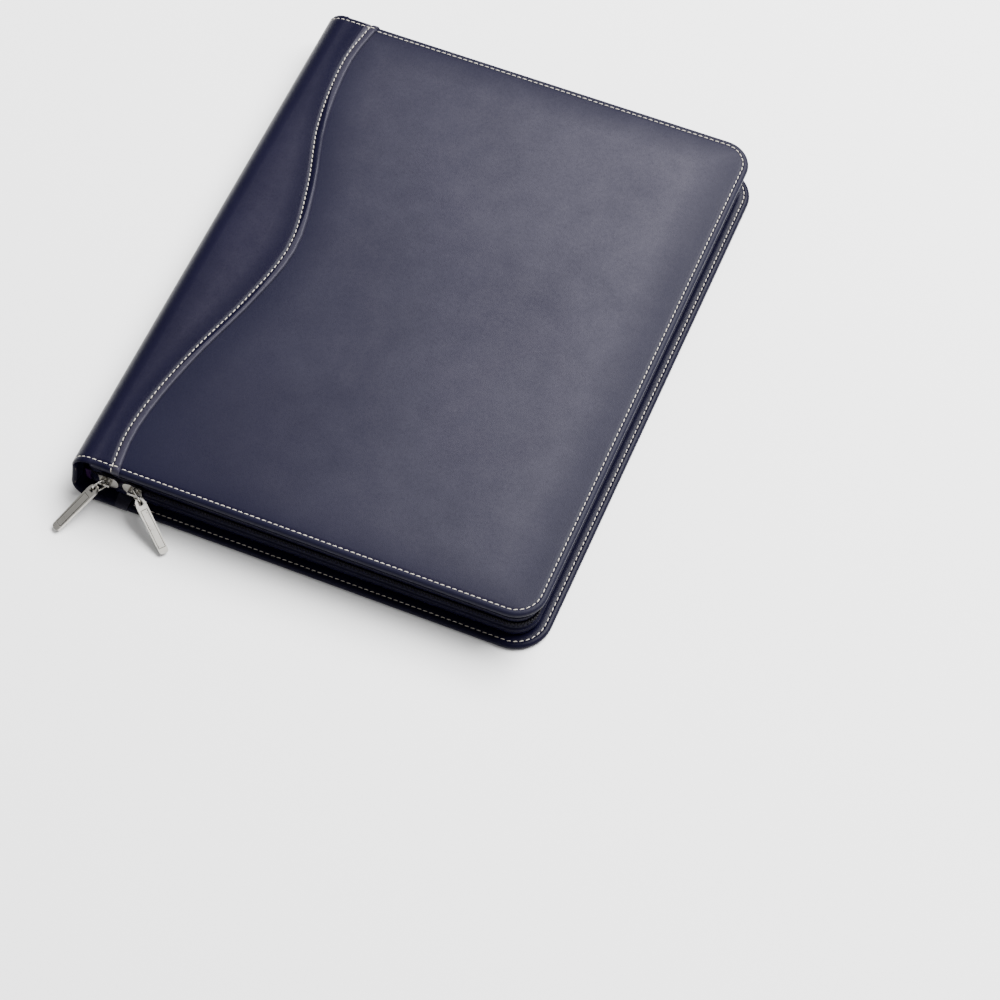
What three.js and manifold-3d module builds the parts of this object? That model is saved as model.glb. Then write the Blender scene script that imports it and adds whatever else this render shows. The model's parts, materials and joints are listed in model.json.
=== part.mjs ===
// A zip-round leather compendium, shut and lying on its back cover. Millimetres, +Z up, spine at -X,
// fore-edge at +X, foot at -Y, head at +Y, origin at the middle of the back cover's underside.
import * as THREE from 'three';
import { mergeVertices } from 'three/addons/utils/BufferGeometryUtils.js';
import Module from 'manifold-3d';

const wasm = await Module();
wasm.setup();

// Writing pad, which the case is made for, and what the back cover leaves free round it
const padWidth = 210;
const padLength = 297;
const padSheets = 5;
const padBoard = 0.8;
const padSpine = 39; // spine face to the pad
const padFore = 30;
const padFoot = 38;
const padHead = 21;
const bindingWidth = 15;
const bindingThickness = 0.4;

// Case
const caseWidth = padSpine + padWidth + padFore; // spine face to the back cover's fore-edge
const caseLength = padFoot + padLength + padHead;
const caseThickness = 34;
const frontStep = 3; // the front cover stops this far inside the back cover on three sides
const cornerRadius = 21;
const edgeRound = 1.5;
const leather = 1;
const boardThickness = 1.8;
const liningThickness = 0.8;
const rimProud = 0.4;
const turnIn = 9; // leather folded in over the back cover's edge
const foldRadius = 12; // outside of the bend between a cover and the spine
const backSeam = 34; // spine face to the straight seam on the back
const clearance = 0.3;

// The S-shaped seam of the spine panel on the front: distance from the spine face, and the place along
// the cover as a share of its half length, foot to head.
const seamStations = [
  [25.5, -1], [22.6, -0.86], [25, -0.7], [33, -0.475], [44, -0.24],
  [51.8, 0.01], [44.5, 0.257], [31, 0.52], [24.1, 0.81], [28.5, 1],
];

// Zip round three sides
const zipInset = 8; // back cover's edge to the middle of the tape
const tapeThickness = 1.5;
const chainHeight = 3;
const beadHeight = 0.7;
const beadWidth = 2.4;
const toothPitch = 7.5;
const toothRoot = 3.4;
const toothTip = 2.8;
const toothDepth = 2;
const zipEndTape = 1;
const zipEndMargin = 6.5; // what a zip end leaves free above and below
const zipEndReach = 38; // back cover's end to the stitched end of a zip end
const zipEndBend = 8;
const ribWidth = 1.4;
const ribPitch = 2.5;

// Sliders of the main zip
const parkedAt = 21; // spine face to the middle of the parked slider
const sliderSpacing = 15;
const sliderRear = 5.5;
const sliderNose = 6.2;
const sliderRearHeight = 6.8;
const sliderNoseHeight = 9;
const sliderPlate = 1.2;
const wedgeWaist = 1.2; // nose to the widest place of the wedge
const wedgeTip = 0.5; // nose to the point of the wedge
const plateRoom = 0.5; // chain to plate
const flangeHeight = 0.8;
const bailLength = 6;
const bailHeight = 3;
const bailWire = 1;
const bailWidth = 2;
const bailOffset = 1; // towards the rear
const linkWire = 1.2;
const linkLength = 8;
const linkRoom = 6.2; // inside height of the link
const pullReach = 31; // link to the tip of the pull tab
const pullEye = 3.6;
const pullEyeWidth = 2.6;
const pullEnd = 1.2;
const pullWidth = 6.2;
const pullTipWidth = 5.4;
const pullThickness = 2;
const pullRound = 1; // rounding of the ends
const pullShoulder = 5; // eye end to the full width
const parkedTurn = -31; // degrees from straight out of the foot
const travellingTurn = 53;

// Spine and pen
const sleeveWidth = 19;
const sleeveWall = 0.8;
const sleeveTop = 55;
const sleeveLength = 113;
const barrelRadius = 6;
const capRadius = 5.5;
const penLength = 165;
const penHead = 123; // head end of the pen
const capLength = 60;
const capBore = 4.2;
const nibLength = 33;
const capTaper = [[1, 20], [0.9, 8], [0.55, 1.5], [0, 0]]; // share of the radius, distance from the end
const barrelTaper = [[0, 0], [0.45, 0.5], [0.8, 6], [1, 30]];
const boreTip = 4; // nib to the end of the cap's bore
const nibShoulder = 19; // nib's point to the grip
const nibTaper = 15;
const clipLength = 44;
const clipWidth = 3;
const clipThickness = 1;
const clipRoot = 8; // head end of the pen to the clip
const clipRamp = 6;
const clipHeel = 4;
const sleeveFloor = 6; // foot of the flange to the bottom of the bore

// Pocket band that holds the pad: margins from the fold edge and from the back cover's edges
const bandThickness = 0.8;
const bandSpineMargin = 4.5;
const bandForeMargin = 10.5;
const bandHeadMargin = 52;
const bandFootMargin = 49;
const lipWidth = 2;

// Organiser in the front cover, measured from the fold edge and from the front cover's foot edge
const panel = 0.8;
const organiserSpine = 7;
const organiserFore = 213;
const organiserFoot = 32;
const organiserHead = 343;
const organiserSkirt = 14; // the main panel runs on below the panels that lie on it
const scoopDepth = 11;
const scoopFoot = 60;
const scoopHead = 319;
const scoopRun = 35;
const slipFore = 139;
const cardPanelFore = 108;
const brochureThickness = 1;
const brochureWidth = 210;
const brochureLength = 310;
const brochureOut = 13; // beyond the organiser's fore-edge
const brochureFoot = 23;

const pocketZipAt = 172; // fold edge to the middle of the pocket's zip
const pocketZipFoot = 56;
const pocketZipLength = 268;
const pocketSlot = 7.5;
const pocketTape = 0.6;
const pocketTapeWidth = 24;
const pocketChainWidth = 3;
const pocketChain = 1;
const pocketRibPitch = 8;
const pocketSliderAt = 64;
const pocketSliderLength = 9;
const pocketSliderWall = 1;
const pocketPullReach = 22;
const pocketPullWidth = 4.6;
const pocketPullThickness = 1.2;
const pocketBarWidth = 1.4;
const pocketEye = 3.2;
const pocketEyeWidth = 2.6;
const pocketBail = 0.8;
const pocketBailGap = 3.2;

const cardWidth = 85.6;
const cardLength = 54;
const cardThickness = 0.76;
const cardCorner = 3;
const slotCount = 5;
const slotPanel = 0.7;
const slotSpineMargin = 4;
const slotForeMargin = 4;
const slotHeadMargin = 19; // organiser's head edge to the edge of the first slot
const lastSlotRise = 44.2; // side pocket's head edge to the edge of the last slot
const slotHidden = 7; // a slot panel runs this far behind the next one
const cardShowing = 6;
const cardShowingStep = 1.2;
const cardInset = 9; // slot panel's spine side to the card

const sidePanelHead = 187;
const windowPanelHead = 120;
const bookletThickness = 1;
const bookletMargin = 4;
const bookletWidth = 76;
const thumbDepth = 9;
const thumbLength = 57;
const windowWidth = 75;
const windowHeight = 60;
const windowSpine = 12;
const windowFoot = 18;
const windowLap = 3;
const film = 0.3;
const insertThickness = 0.6;

// Places that follow from the sizes
const spineFace = -caseWidth / 2;
const foreEdge = caseWidth / 2;
const halfLength = caseLength / 2;
const frontHalf = halfLength - frontStep;
const frontFore = foreEdge - frontStep;
const frontTop = caseThickness - leather;
const coverThickness = leather + boardThickness + liningThickness + rimProud;
const foldEdge = spineFace + foldRadius;
const seamBack = spineFace + backSeam;
const liningFace = leather + boardThickness + liningThickness;
const zipMid = frontTop / 2;
const zipX = foreEdge - zipInset;
const zipY = halfLength - zipInset;
const zipRadius = cornerRadius - zipInset;
const parkedX = spineFace + parkedAt;
const travellingX = parkedX + sliderSpacing;
const endTapeX = parkedX + sliderRear / 2;
const plateFace = beadWidth / 2 + plateRoom;
const bailY = -zipY - plateFace - sliderPlate - (bailHeight - bailWire) / 2;
const spineLiningFace = spineFace + liningFace;
const lastSlotEdge = sidePanelHead + lastSlotRise;
const slotPitch = (organiserHead - slotHeadMargin - lastSlotEdge) / (slotCount - 1);
const penX = spineLiningFace + clearance + sleeveWall + 2 * clearance + barrelRadius;
const penZ = caseThickness / 2;

const degrees = Math.PI / 180;
const cornerSteps = 4;

const looks = {
  navy: [0x23263d, 0.45, 0],
  panelNavy: [0x343a52, 0.42, 0],
  lining: [0x3d4056, 0.55, 0],
  taupe: [0x575058, 0.6, 0],
  tape: [0x2b1d38, 0.85, 0],
  coil: [0x17161c, 0.5, 0],
  board: [0x6b6358, 0.9, 0],
  nickel: [0xcfcabf, 0.25, 1],
  gilt: [0xc9b184, 0.3, 1],
  silver: [0xd6d3cb, 0.25, 1],
  barrel: [0x2c3142, 0.35, 0],
  paper: [0xf4f3ec, 0.8, 0],
  kraft: [0x6f5547, 0.7, 0],
  film: [0xc9d6de, 0.1, 0],
  blue: [0x3a6296, 0.5, 0],
  print: [0xc9503a, 0.5, 0],
  cards: [0xeeeeec, 0x6b3fb0, 0xe8952e, 0x6e7433, 0x5fa79b],
};

// A closed geometry as a solid that can be cut and joined.
function solid(geometry) {
  const bare = geometry.index ? geometry.toNonIndexed() : geometry.clone();
  bare.deleteAttribute('normal');
  bare.deleteAttribute('uv');
  const merged = mergeVertices(bare, 1e-4);
  const mesh = new wasm.Mesh({
    numProp: 3,
    vertProperties: merged.attributes.position.array,
    triVerts: new Uint32Array(merged.index.array),
  });
  return new wasm.Manifold(mesh);
}

function add(group, name, body, look) {
  const mesh = body.getMesh();
  const geometry = new THREE.BufferGeometry();
  geometry.setAttribute('position', new THREE.BufferAttribute(mesh.vertProperties, 3));
  geometry.setIndex(new THREE.BufferAttribute(mesh.triVerts, 1));
  const flat = geometry.toNonIndexed();
  flat.computeVertexNormals();
  const [color, roughness, metalness] = look;
  const piece = new THREE.Mesh(flat, new THREE.MeshStandardMaterial({ color, roughness, metalness }));
  piece.name = name;
  group.add(piece);
}

function plate(shape, z, thickness) {
  const options = { depth: thickness, bevelEnabled: false, curveSegments: cornerSteps };
  return solid(new THREE.ExtrudeGeometry(shape, options).translate(0, 0, z));
}

function block(x0, x1, y0, y1, z0, z1) {
  const geometry = new THREE.BoxGeometry(x1 - x0, y1 - y0, z1 - z0);
  return solid(geometry.translate((x0 + x1) / 2, (y0 + y1) / 2, (z0 + z1) / 2));
}

// Extrudes a profile drawn in X and Z along Y, from y0 to y1.
function alongY(profile, y0, y1) {
  const options = { depth: y1 - y0, bevelEnabled: false, curveSegments: cornerSteps };
  return solid(new THREE.ExtrudeGeometry(profile, options).rotateX(Math.PI / 2).translate(0, y1, 0));
}

// Extrudes a profile drawn in Y and Z along X, from x0 to x1.
function alongX(profile, x0, x1) {
  const options = { depth: x1 - x0, bevelEnabled: false, curveSegments: cornerSteps };
  const turn = new THREE.Matrix4().makeBasis(
    new THREE.Vector3(0, 1, 0), new THREE.Vector3(0, 0, 1), new THREE.Vector3(1, 0, 0));
  return solid(new THREE.ExtrudeGeometry(profile, options).applyMatrix4(turn).translate(x0, 0, 0));
}

// A solid turned about an axis along Y, from radius and Y pairs that run from the head to the foot.
function turned(pairs, x, z) {
  const profile = pairs.map(([radius, y]) => new THREE.Vector2(radius, y));
  return solid(new THREE.LatheGeometry(profile, 20).translate(x, 0, z));
}

function rectangle(x0, x1, y0, y1, radius = 0) {
  const shape = new THREE.Shape();
  if (radius === 0) {
    return shape.moveTo(x0, y0).lineTo(x1, y0).lineTo(x1, y1).lineTo(x0, y1);
  }
  shape.moveTo(x0 + radius, y0);
  shape.absarc(x1 - radius, y0 + radius, radius, -Math.PI / 2, 0);
  shape.absarc(x1 - radius, y1 - radius, radius, 0, Math.PI / 2);
  shape.absarc(x0 + radius, y1 - radius, radius, Math.PI / 2, Math.PI);
  shape.absarc(x0 + radius, y0 + radius, radius, Math.PI, 1.5 * Math.PI);
  return shape;
}

// A cover's outline: square at the spine side, rounded at the fore-edge.
function coverOutline(x0, fore, half, radius) {
  const shape = new THREE.Shape().moveTo(x0, half).lineTo(x0, -half);
  shape.absarc(fore - radius, radius - half, radius, -Math.PI / 2, 0);
  shape.absarc(fore - radius, half - radius, radius, 0, Math.PI / 2);
  return shape;
}

// A band that follows the zip round three sides of the case, drawn in plan.
function zipBand(x0, width) {
  const outer = zipRadius + width / 2;
  const inner = zipRadius - width / 2;
  const turnX = zipX - zipRadius;
  const turnY = zipY - zipRadius;
  const shape = new THREE.Shape().moveTo(x0, -turnY - inner).lineTo(x0, -turnY - outer);
  shape.absarc(turnX, -turnY, outer, -Math.PI / 2, 0);
  shape.absarc(turnX, turnY, outer, 0, Math.PI / 2);
  shape.lineTo(x0, turnY + outer).lineTo(x0, turnY + inner);
  shape.absarc(turnX, turnY, inner, Math.PI / 2, 0, true);
  shape.absarc(turnX, -turnY, inner, 0, -Math.PI / 2, true);
  return shape;
}

// The leather of one cover: a plate whose rolled edge is folded in over the board, underside at z = 0.
function leatherTray(fore, half, radius, fold) {
  const outline = coverOutline(foldEdge - 2 * edgeRound, fore, half, radius);
  const options = {
    depth: coverThickness - 2 * edgeRound,
    bevelEnabled: true,
    bevelThickness: edgeRound,
    bevelSize: edgeRound,
    bevelOffset: -edgeRound,
    bevelSegments: 2,
    curveSegments: cornerSteps,
  };
  const blank = solid(new THREE.ExtrudeGeometry(outline, options).translate(0, 0, edgeRound));
  const inside = coverOutline(foldEdge - 3 * edgeRound, fore - fold, half - fold, radius - fold);
  const trimmed = blank.intersect(block(foldEdge, fore + 1, -half - 1, half + 1, -1, coverThickness + 1));
  return trimmed.subtract(plate(inside, leather, coverThickness));
}

// Turns a cover's solids over, so that the outside faces up at the front's height.
function turnedOver(body) {
  return body.mirror([0, 0, 1]).translate([0, 0, frontTop]);
}

function coverCore(fore, half, radius, inset, z, thickness) {
  const edge = inset + clearance;
  return plate(coverOutline(foldEdge, fore - edge, half - edge, radius - edge), z, thickness);
}

function buildBackCover() {
  const group = new THREE.Group();
  const tray = leatherTray(foreEdge, halfLength, cornerRadius, turnIn);
  const past = halfLength + 1;
  const spineSide = block(foldEdge - 1, seamBack - clearance, -past, past, -1, caseThickness);
  const foreSide = block(seamBack, foreEdge + 1, -past, past, -1, caseThickness);
  add(group, 'back_cover_leather', tray.intersect(foreSide), looks.navy);
  add(group, 'back_spine_panel', tray.intersect(spineSide), looks.navy);
  const core = (z, thickness) => coverCore(foreEdge, halfLength, cornerRadius, turnIn, z, thickness);
  add(group, 'back_cover_board', core(leather, boardThickness), looks.board);
  add(group, 'back_lining', core(leather + boardThickness, liningThickness), looks.lining);
  return group;
}

function seamCurve() {
  const place = ([fromSpine, share]) => new THREE.Vector2(spineFace + fromSpine, share * frontHalf);
  return seamStations.map(place);
}

function buildFrontCover() {
  const group = new THREE.Group();
  const radius = cornerRadius - frontStep;
  const fold = turnIn - frontStep;
  const tray = leatherTray(frontFore, frontHalf, radius, fold);
  add(group, 'front_cover_leather', turnedOver(tray), looks.panelNavy);
  const core = (z, thickness) => turnedOver(coverCore(frontFore, frontHalf, radius, fold, z, thickness));
  add(group, 'front_cover_board', core(leather, boardThickness), looks.board);
  add(group, 'front_lining', core(leather + boardThickness, liningThickness), looks.lining);
  const seam = seamCurve();
  const outline = new THREE.Shape().moveTo(foldEdge, -frontHalf).lineTo(seam[0].x, seam[0].y);
  outline.splineThru(seam.slice(1));
  outline.lineTo(foldEdge, frontHalf);
  add(group, 'front_spine_panel', plate(outline, frontTop, leather), looks.navy);
  return group;
}

// A quarter bend of leather and lining between a cover and the spine.
function foldBend(centreZ, from, to, half) {
  const profile = new THREE.Shape();
  profile.absarc(foldEdge, centreZ, foldRadius, from, to);
  profile.absarc(foldEdge, centreZ, foldRadius - leather - liningThickness, to, from, true);
  return alongY(profile, -half, half);
}

// The spine's flat middle, as long as the back cover below and as the front cover above.
function spineLayer(depth, thickness) {
  const low = foldRadius;
  const high = caseThickness - foldRadius;
  const shape = new THREE.Shape().moveTo(-halfLength, low).lineTo(halfLength, low);
  shape.lineTo(frontHalf, high).lineTo(-frontHalf, high);
  return alongX(shape, spineFace + depth, spineFace + depth + thickness);
}

// The closed end of the zip: it runs on from the foot of the case, round the corner and along the spine.
function zipEnd() {
  const half = zipEndTape / 2;
  const line = spineLiningFace + clearance + half;
  const centreX = line + zipEndBend;
  const centreY = zipEndBend - zipY;
  const shape = new THREE.Shape().moveTo(endTapeX, -zipY + half).lineTo(endTapeX, -zipY - half);
  shape.absarc(centreX, centreY, zipEndBend + half, 1.5 * Math.PI, Math.PI, true);
  shape.lineTo(line - half, zipEndReach - halfLength).lineTo(line + half, zipEndReach - halfLength);
  shape.absarc(centreX, centreY, zipEndBend - half, Math.PI, 1.5 * Math.PI);
  const ribs = [];
  const room = endTapeX - centreX;
  for (let i = 0; i * ribPitch < room - ribWidth; i += 1) {
    const x = endTapeX - ribWidth / 2 - clearance - i * ribPitch;
    ribs.push(block(x - ribWidth / 2, x + ribWidth / 2, -zipY - beadWidth / 2, -zipY + beadWidth / 2,
      zipMid - chainHeight / 2, zipMid + chainHeight / 2));
  }
  const height = caseThickness - 2 * zipEndMargin;
  return wasm.Manifold.union([plate(shape, zipEndMargin, height), ...ribs]);
}

function buildSpine() {
  const group = new THREE.Group();
  add(group, 'spine_leather', spineLayer(0, leather), looks.navy);
  add(group, 'spine_stiffener', spineLayer(leather, boardThickness), looks.board);
  add(group, 'spine_lining', spineLayer(leather + boardThickness, liningThickness), looks.taupe);
  const upperCentre = caseThickness - foldRadius;
  add(group, 'lower_fold_leather', foldBend(foldRadius, Math.PI, 1.5 * Math.PI, halfLength), looks.navy);
  add(group, 'upper_fold_leather', foldBend(upperCentre, Math.PI / 2, Math.PI, frontHalf), looks.navy);
  add(group, 'foot_zip_end', zipEnd(), looks.tape);
  add(group, 'head_zip_end', zipEnd().mirror([0, 1, 0]), looks.tape);
  add(group, 'pen_sleeve', penSleeve(), looks.taupe);
  return group;
}

// A stitched flange on the spine's lining with a round-bottomed tube for the pen.
function penSleeve() {
  const back = spineLiningFace + clearance;
  const half = sleeveWidth / 2;
  const foot = sleeveTop - sleeveLength;
  const flange = new THREE.Shape().moveTo(sleeveTop, penZ + half);
  flange.lineTo(foot + half, penZ + half);
  flange.absarc(foot + half, penZ, half, Math.PI / 2, 1.5 * Math.PI);
  flange.lineTo(sleeveTop, penZ - half);
  const bore = barrelRadius + clearance;
  const outer = penX - back - clearance / 2;
  const bottom = foot + sleeveFloor;
  const shell = (radius, end, top) => {
    const rounded = [0, Math.PI / 6, Math.PI / 3].map(
      (a) => [radius * Math.cos(a), end + radius * (1 - Math.sin(a))]);
    return turned([[0, top], [radius, top], ...rounded, [0, end]].reverse(), penX, penZ);
  };
  const tube = shell(outer, bottom - sleeveWall, sleeveTop);
  const body = alongX(flange, back, back + sleeveWall).add(tube);
  return body.subtract(shell(bore, penHead - penLength - clearance, sleeveTop + 1));
}

function buildPen() {
  const group = new THREE.Group();
  const joint = penHead - capLength;
  const nibEnd = joint + nibLength;
  const grip = capBore - clearance;
  const cap = [
    [0, nibEnd + boreTip], [capBore, nibEnd + boreTip / 4], [capBore, joint], [capRadius, joint],
    ...capTaper.map(([share, back]) => [share * capRadius, penHead - back]),
  ];
  const foot = penHead - penLength;
  const barrel = [
    ...barrelTaper.map(([share, back]) => [share * barrelRadius, foot + back]),
    [barrelRadius, joint - clearance], [grip, joint - clearance], [grip, nibEnd - nibShoulder],
    [grip / 2, nibEnd - nibTaper], [0, nibEnd],
  ];
  add(group, 'pen_cap', turned(cap, penX, penZ), looks.silver);
  add(group, 'pen_barrel', turned(barrel, penX, penZ), looks.barrel);
  const clipFoot = penHead - clipLength;
  const root = penHead - clipRoot;
  const rise = penX + capRadius + clearance;
  const crest = rise + clearance + clipThickness;
  const arm = new THREE.Shape().moveTo(rise, root).lineTo(rise, root - clipRamp);
  arm.lineTo(rise + clearance, root - 2 * clipHeel).lineTo(rise + clearance, clipFoot + clipHeel);
  arm.lineTo(rise, clipFoot).lineTo(rise + clipThickness / 2, clipFoot).lineTo(crest, clipFoot + clipHeel);
  arm.lineTo(crest, root - clipHeel).lineTo(rise + clipThickness / 2, root);
  add(group, 'pen_clip', plate(arm, penZ - clipWidth / 2, clipWidth), looks.silver);
  return group;
}

// One side of the chain: a bead along the tape and teeth that mesh with the other side's.
function zipTeeth(shift) {
  const start = travellingX;
  const line = new THREE.Path().moveTo(start, -zipY).lineTo(zipX - zipRadius, -zipY);
  line.absarc(zipX - zipRadius, zipRadius - zipY, zipRadius, -Math.PI / 2, 0);
  line.absarc(zipX - zipRadius, zipY - zipRadius, zipRadius, 0, Math.PI / 2);
  line.lineTo(endTapeX + clearance, zipY);
  const height = chainHeight - 2 * beadHeight - clearance;
  const tooth = new THREE.Shape().moveTo(-toothRoot / 2, -beadHeight / 2);
  tooth.lineTo(toothRoot / 2, -beadHeight / 2);
  tooth.lineTo(toothTip / 2, height).lineTo(-toothTip / 2, height);
  const one = alongY(tooth, -toothDepth / 2, toothDepth / 2);
  const base = zipMid - chainHeight / 2 + beadHeight;
  const bead = plate(zipBand(endTapeX + clearance, beadWidth), base - beadHeight, beadHeight);
  const footStart = block(endTapeX, start, -zipY - zipInset, -zipY + zipInset, 0, caseThickness);
  const teeth = [];
  const length = line.getLength();
  for (let s = toothRoot + shift; s < length - toothRoot / 2; s += toothPitch) {
    const at = line.getPoint(s / length);
    const heading = line.getTangent(s / length);
    const angle = Math.atan2(heading.y, heading.x) / degrees;
    teeth.push(one.rotate([0, 0, angle]).translate([at.x, at.y, base]));
  }
  return wasm.Manifold.union([bead.subtract(footStart), ...teeth]);
}

function buildZip(backGroup, frontGroup) {
  const band = zipBand(endTapeX + clearance, tapeThickness);
  const half = chainHeight / 2;
  const lowerTop = zipMid - half;
  const upperFoot = zipMid + half;
  add(backGroup, 'lower_zip_tape', plate(band, coverThickness, lowerTop - coverThickness), looks.tape);
  add(backGroup, 'lower_zip_teeth', zipTeeth(0), looks.coil);
  const upperHeight = frontTop - coverThickness - upperFoot;
  add(frontGroup, 'upper_zip_tape', plate(band, upperFoot, upperHeight), looks.tape);
  const upper = zipTeeth(toothPitch / 2).mirror([0, 0, 1]).translate([0, 0, 2 * zipMid]);
  add(frontGroup, 'upper_zip_teeth', upper, looks.coil);
}

// A slider seen with its nose towards +X: two plates, the diamond between them, flanges and the bail.
function sliderBody(flangedAbove) {
  const rear = sliderRearHeight / 2;
  const nose = sliderNoseHeight / 2;
  const shield = new THREE.Shape().moveTo(-sliderRear, -rear).lineTo(sliderNose / 3, -nose);
  shield.quadraticCurveTo(sliderNose, -nose, sliderNose, 0);
  shield.quadraticCurveTo(sliderNose, nose, sliderNose / 3, nose).lineTo(-sliderRear, rear);
  const outside = -plateFace - sliderPlate;
  const wide = chainHeight / 2 - clearance;
  const wedgeStart = sliderRear / 2 + clearance;
  const wedge = new THREE.Shape().moveTo(wedgeStart, 0).lineTo(sliderNose - wedgeWaist, -wide);
  wedge.lineTo(sliderNose - wedgeTip, 0).lineTo(sliderNose - wedgeWaist, wide);
  const flange = (side, top) => {
    const z = top ? rear - flangeHeight : -rear;
    const near = tapeThickness / 2 + clearance;
    const far = plateFace + sliderPlate / 2;
    const [y0, y1] = side > 0 ? [near, far] : [-far, -near];
    return block(-sliderRear, sliderNose / 4, y0, y1, z, z + flangeHeight);
  };
  const parts = [
    alongY(shield, outside, -plateFace),
    alongY(shield, plateFace, plateFace + sliderPlate),
    alongY(wedge, -plateFace - sliderPlate / 2, plateFace + sliderPlate / 2),
    flange(1, false),
    flange(-1, false),
  ];
  if (flangedAbove) {
    parts.push(flange(1, true), flange(-1, true));
  }
  const half = bailLength / 2;
  const top = outside - bailHeight;
  const arch = block(-half, half, top, outside + sliderPlate / 2, -bailWidth / 2, bailWidth / 2);
  const eye = block(bailWire - half, half - bailWire, top + bailWire, outside, -bailWidth, bailWidth);
  parts.push(arch.subtract(eye).translate([-bailOffset, 0, 0]));
  return wasm.Manifold.union(parts);
}

// The link stands upright in the bail; X runs outwards from the bar that sits in the bail.
function pullLink() {
  const half = linkWire / 2;
  const inner = linkRoom / 2;
  const outer = inner + linkWire;
  const outline = rectangle(-half, linkLength + half, -outer, outer, linkWire);
  outline.holes.push(rectangle(half, linkLength - half, -inner, inner, half));
  return alongY(outline, -half, half);
}

// A pull tab with an eye for the link; X runs from the link to the tip.
function pullTab() {
  const start = -pullEye / 2 - pullEnd;
  const neck = (pullEyeWidth + pullEnd) / 2;
  const half = pullWidth / 2;
  const tipHalf = pullTipWidth / 2;
  const shape = new THREE.Shape().moveTo(start + pullRound, -neck);
  shape.quadraticCurveTo(start + 2 * pullRound, -half, start + pullShoulder, -half);
  shape.lineTo(pullReach - 2 * pullRound, -tipHalf);
  shape.quadraticCurveTo(pullReach, -tipHalf, pullReach, 0);
  shape.quadraticCurveTo(pullReach, tipHalf, pullReach - 2 * pullRound, tipHalf);
  shape.lineTo(start + pullShoulder, half);
  shape.quadraticCurveTo(start + 2 * pullRound, half, start + pullRound, neck);
  shape.quadraticCurveTo(start, pullRound, start, 0);
  shape.quadraticCurveTo(start, -pullRound, start + pullRound, -neck);
  const eye = pullEye / 2;
  shape.holes.push(rectangle(-eye, eye, -pullEyeWidth / 2, pullEyeWidth / 2, pullEyeWidth / 4));
  return plate(shape, -pullThickness / 2, pullThickness);
}

// A slider with its link and pull tab: the link turns in the bail, and the tab droops to the floor.
function buildSlider(group, name, x, flipped, turn) {
  const side = flipped ? -1 : 1;
  const body = sliderBody(!flipped);
  const placed = flipped ? body.mirror([1, 0, 0]) : body;
  add(group, name + '_slider_body', placed.translate([x, -zipY, zipMid]), looks.nickel);
  const swivel = new THREE.Group();
  swivel.position.set(x - side * bailOffset, bailY, zipMid);
  swivel.rotation.z = (turn - 90) * degrees;
  add(swivel, name + '_slider_link', pullLink(), looks.nickel);
  const droop = new THREE.Group();
  droop.position.x = linkLength;
  droop.rotation.y = Math.asin((zipMid - clearance - pullThickness / 2) / pullReach);
  add(droop, name + '_pull_tab', pullTab(), looks.nickel);
  swivel.add(droop);
  group.add(swivel);
}

function buildPad(backGroup) {
  const group = new THREE.Group();
  const left = foldEdge + bandSpineMargin;
  const right = foreEdge - bandForeMargin;
  const boardZ = coverThickness + clearance;
  const bandZ = boardZ + padBoard + clearance;
  const foot = bandFootMargin - halfLength;
  const head = halfLength - bandHeadMargin;
  const band = block(left, right, foot, head, bandZ, bandZ + bandThickness);
  const lips = [
    block(left, left + lipWidth, foot, head, liningFace, bandZ + bandThickness / 2),
    block(right - lipWidth, right, foot, head, liningFace, bandZ + bandThickness / 2),
  ];
  add(backGroup, 'pad_pocket_band', wasm.Manifold.union([band, ...lips]), looks.lining);
  const x1 = foreEdge - padFore;
  const x0 = x1 - padWidth;
  const y0 = padFoot - halfLength;
  const y1 = y0 + padLength;
  const sheetZ = bandZ + bandThickness + clearance;
  const sheetTop = sheetZ + padSheets;
  add(group, 'pad_backboard', block(x0, x1, y0, y1, boardZ, boardZ + padBoard), looks.kraft);
  add(group, 'pad_sheets', block(x0, x1, y0, y1, sheetZ, sheetTop), looks.paper);
  const fold = block(x0, x1, y1, y1 + bindingThickness, boardZ, sheetTop + bindingThickness);
  const cap = block(x0, x1, y1 - bindingWidth, y1 + bindingThickness, sheetTop, sheetTop + bindingThickness);
  add(group, 'pad_binding', fold.add(cap), looks.kraft);
  return group;
}

// The card slots: each slot panel and card lies on a slope, so that each overlaps the next like shingles.
function buildCards(group, floor) {
  const layer = cardThickness + slotPanel + 2 * clearance;
  const slope = Math.asin(layer / slotPitch);
  const left = foldEdge + organiserSpine + slotSpineMargin;
  const right = foldEdge + cardPanelFore - slotForeMargin;
  const cardLeft = left + cardInset;
  for (let i = 0; i < slotCount; i += 1) {
    const showing = cardShowing + i * cardShowingStep;
    const last = i === slotCount - 1;
    const edgeY = lastSlotEdge + (slotCount - 1 - i) * slotPitch - frontHalf;
    const tuck = cardLength - showing;
    const shingle = new THREE.Group();
    shingle.position.set(0, edgeY - tuck * Math.cos(slope), floor - clearance);
    shingle.rotation.x = -slope;
    const sideY = sidePanelHead + clearance - frontHalf;
    const run = last ? (edgeY - sideY) / Math.cos(slope) - clearance : slotPitch + slotHidden;
    const front = -cardThickness - clearance - slotPanel;
    const slot = block(left, right, tuck - run, tuck, front, front + slotPanel);
    add(shingle, 'card_slot_' + (i + 1), slot, looks.panelNavy);
    const outline = rectangle(cardLeft, cardLeft + cardWidth, 0, cardLength, cardCorner);
    add(shingle, 'card_' + (i + 1), plate(outline, -cardThickness, cardThickness), [looks.cards[i], 0.4, 0]);
    group.add(shingle);
  }
}

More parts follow.
